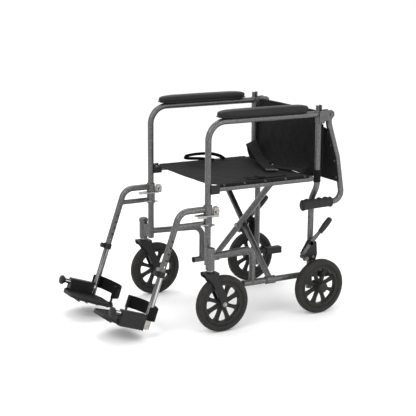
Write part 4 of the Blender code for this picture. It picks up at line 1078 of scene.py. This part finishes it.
def build_footplate():
    """A ribbed tray hung below its hinge sleeve, with a grooved underside and a post for the heel strap."""
    m = plate_frame()
    corners = [(0.000, 0.014), (0.000, 0.118), (-0.045, 0.1435), (-0.118, 0.1450), (-0.148, 0.126),
        (-0.1660, 0.060), (-0.1660, -0.0085), (-0.050, -0.0100), (-0.026, 0.002), (-0.020, 0.014),
        (-0.002, 0.014)]
    outline = filleted([(x, y, 0) for x, y in corners], 0.010, 5)
    plan = [(q.x, q.y) for q in outline]
    centre = Vector((-0.086, 0.064))
    inner = [((q[0] - centre.x) * 0.955 + centre.x, (q[1] - centre.y) * 0.955 + centre.y) for q in plan]
    tray = fuse([prism(plan, "z", TREAD - 0.0105, TREAD + 0.0006)],
        [prism(inner, "z", TREAD - 0.0030, TREAD + 0.01)])
    ribs = []
    for k in range(9):
        y = 0.008 + 0.0148 * k
        far = -0.1560 + 0.0011 * max(0.0, k - 5) ** 2 * 3
        ribs.append(prism([(far, y), (-0.0200, y), (-0.0200, y + 0.0058), (far, y + 0.0058)], "z",
            TREAD - 0.0040, TREAD - 0.0006))
    beams = [box((-0.155, -0.012), (y, y + 0.003), (TREAD - 0.0150, TREAD - 0.0095)) for y in (0.008, 0.050,
        0.092, 0.124)]
    shell = [(-0.0150, 0.0110), (-0.0120, 0.0140), (0.0120, 0.0140), (0.0155, 0.0105),
        (0.0155, TREAD - 0.0120), (-0.0150, TREAD - 0.0120)]
    block = prism_xz(shell, 0.0130, 0.1060)
    fins = prism_xz([(-0.0150, TREAD - 0.0050), (0.0155, TREAD - 0.0050), (0.0155, TREAD - 0.0145),
        (-0.0150, TREAD - 0.0145)], 0.0130, 0.1060)
    sleeve = fuse([block, fins], [box((-0.03, 0.03), (0.0190 + 0.0118 * k, 0.0232 + 0.0118 * k),
        (TREAD - 0.03, TREAD - 0.0118)) for k in range(8)])
    bore = rod((0, -0.02, 0), (0, 0.20, 0), 0.0097, 32, 0)
    collar = fuse([rod((0, 0.1030, 0), (0, 0.1075, 0), 0.0128, 32)],
        [rod((0, 0.09, 0), (0, 0.12, 0), 0.0097, 32, 0)])
    peg = [rod((-0.156, 0.004, TREAD - 0.004), (-0.156, 0.004, 0.0425), 0.0042),
        box((-0.1610, -0.1510), (-0.0030, 0.0090), (TREAD - 0.004, TREAD + 0.0080))]
    body = joined([fuse([tray] + ribs + beams + peg), fuse([sleeve], [bore]), collar])
    pair("footplate_tread", moved(body, m), "black_plastic", "footplate", ["footplate"], bevel=0.0007)


def prism_xz(outline, low, high):
    """A prism whose outline lies across the chair and stands from low to high along it."""
    return prism([(x, z) for x, z in outline], "y", low, high)


def build_heel_loop():
    """A wide strap from round the tube's foot, behind the heel, to the tray's post."""
    m = plate_frame()
    points = [(0.0140, 0.0125), (0.0176, 0.0040), (0.0180, -0.0070), (0.0135, -0.0205), (-0.0060, -0.0315),
        (-0.0400, -0.0415), (-0.0850, -0.0475), (-0.1200, -0.0415),
              (-0.1450, -0.0245), (-0.1600, -0.0040), (-0.1618, 0.0060), (-0.1560, 0.0100)]
    for side, s in SIDES.items():
        stations = []
        for x, y in points:
            q = m @ Vector((x, y, 0.0195))
            stations.append(((q.x * s, q.y, q.z), (0, m[1][2], m[2][2])))
        loop = piece(side + "_heel_strap", strap(stations, 0.0450, 0.0019, 72), "webbing", None,
            [side + "_heel_loop"], angle=40)
        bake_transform(loop)


# ---------------------------------------------------------------- kept CAD pieces

def finish_cad(name, slot, bevel=0.0008):
    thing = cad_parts[name]
    thing.data.materials.clear()
    thing.data.materials.append(MAT[slot])
    weld_step = thing.modifiers.new("weld", "WELD")
    weld_step.merge_threshold = 0.00001
    edge = thing.modifiers.new("soft_edges", "BEVEL")
    edge.width, edge.segments, edge.limit_method = bevel, 2, "ANGLE"
    edge.angle_limit = math.radians(40)


def build_small_parts():
    """The wheel lock's arm, handle and bolts."""
    for side in SIDES:
        finish_cad(side + "_seat_guide", "black_plastic")
        finish_cad(side + "_cane_bracket", "frame_paint", 0.0006)
        finish_cad(side + "_brake_bracket", "black_plastic")
        finish_cad(side + "_tip_lever", "rubber", 0.0015)
    finish_cad("belt_buckle", "black_plastic", 0.0015)
    y, z = 0.207, 0.262
    arm = [(0.161, 0.219), (0.170, 0.211), (0.205, 0.250), (0.219, 0.262), (0.258, 0.303), (0.250, 0.311),
        (0.204, 0.273), (0.196, 0.262)]
    bar = fuse([prism(arm, "x", 0.2160, 0.2204)], [rod((0.20, y, z), (0.24, y, z), 0.0054)])
    shoe = rod((0.2165, 0.168, 0.2165), (0.2560, 0.168, 0.2165), 0.0072)
    pair("lock_arm", joined([bar, shoe]), "zinc", "brake", ["brake_lever"], bevel=0.0006,
        material="dark_zinc")
    a, b = Vector((0.2184, 0.2465, 0.2975)), Vector((0.2184, 0.2935, 0.3475))
    run = (b - a).normalized()
    side = Vector((1, 0, 0))
    rings = []
    length = (b - a).length
    for k in range(29):
        t = k / 28
        r = 0.0082 + 0.0032 * math.sin(math.pi * min(1, t * 0.72 + 0.10)) ** 1.2
        r *= math.sqrt(max(0.02, 1 - ((t - 0.88) / 0.12) ** 2)) if t > 0.88 else 1.0
        rings.append(ring(a + run * (length * t), run, side, r, 24))
    pair("lock_handle", loft(rings), "rubber", "brake", angle=60)
    pin = [rod((0.2105, y, z), (0.2250, y, z), 0.005), rod((0.2214, y, z), (0.2262, y, z), 0.0085, 6)]
    pin += [rod((0.2140, yy, zz), (0.2172, yy, zz), 0.0058, 6) for yy, zz in ((0.222, 0.206), (0.186, 0.232))]
    pair("lock_bolts", joined(pin), "zinc", "frame", bevel=0.0004)


# ---------------------------------------------------------------- studio

def build_studio():
    bpy.ops.mesh.primitive_plane_add(size=40, location=(0, 0, -0.0005))
    floor = bpy.context.object
    floor.name = "floor"
    m, _, _, shader = new_material("pale_floor")
    shader.inputs["Base Color"].default_value = (0.97, 0.97, 0.97, 1)
    shader.inputs["Roughness"].default_value = 0.9
    floor.data.materials.append(m)
    world = bpy.data.worlds.new("studio")
    world.use_nodes = True
    world.node_tree.nodes["Background"].inputs["Color"].default_value = (1, 1, 1, 1)
    world.node_tree.nodes["Background"].inputs["Strength"].default_value = 1.04
    bpy.context.scene.world = world
    for name, place, target, size, power in (("key", (1.6, -2.6, 3.0), (0, 0, 0.4), 1.8, 50),
        ("fill", (3.2, 1.2, 1.6), (0, 0, 0.5), 2.2, 26), ("top", (-0.8, 0.2, 3.4), (0, 0, 0.4), 2.4, 40)):
        lamp = bpy.data.lights.new(name, "AREA")
        lamp.shape, lamp.size, lamp.energy = "DISK", size, power
        holder = bpy.data.objects.new(name, lamp)
        bpy.context.collection.objects.link(holder)
        holder.location = place
        holder.rotation_euler = (Vector(target) - Vector(place)).to_track_quat("-Z", "Y").to_euler()


def build_camera():
    data = bpy.data.cameras.new("camera")
    data.lens, data.sensor_width = 100.16, 36.0
    camera = bpy.data.objects.new("camera", data)
    bpy.context.collection.objects.link(camera)
    right, up, forward = Vector((0.49241, 0.87033, 0.00748)), Vector((-0.19572, 0.10236,
        0.97530)), Vector((-0.84807, 0.48172, -0.22074))
    camera.matrix_world = Matrix.Translation((3.6028, -2.1490 + MID_Y, 1.3195)) @ Matrix((right, up,
        -forward)).transposed().to_4x4()
    bpy.context.scene.camera = camera


build_studio()
build_camera()
build_frame()
build_housing()
build_arm_pad()
build_wheels()
build_fork()
build_cross()
build_seat()
build_back()
build_belts()
build_canes()
build_hanger()
build_extension()
build_footplate()
build_heel_loop()
build_small_parts()
bpy.context.scene.view_settings.view_transform = "Standard"
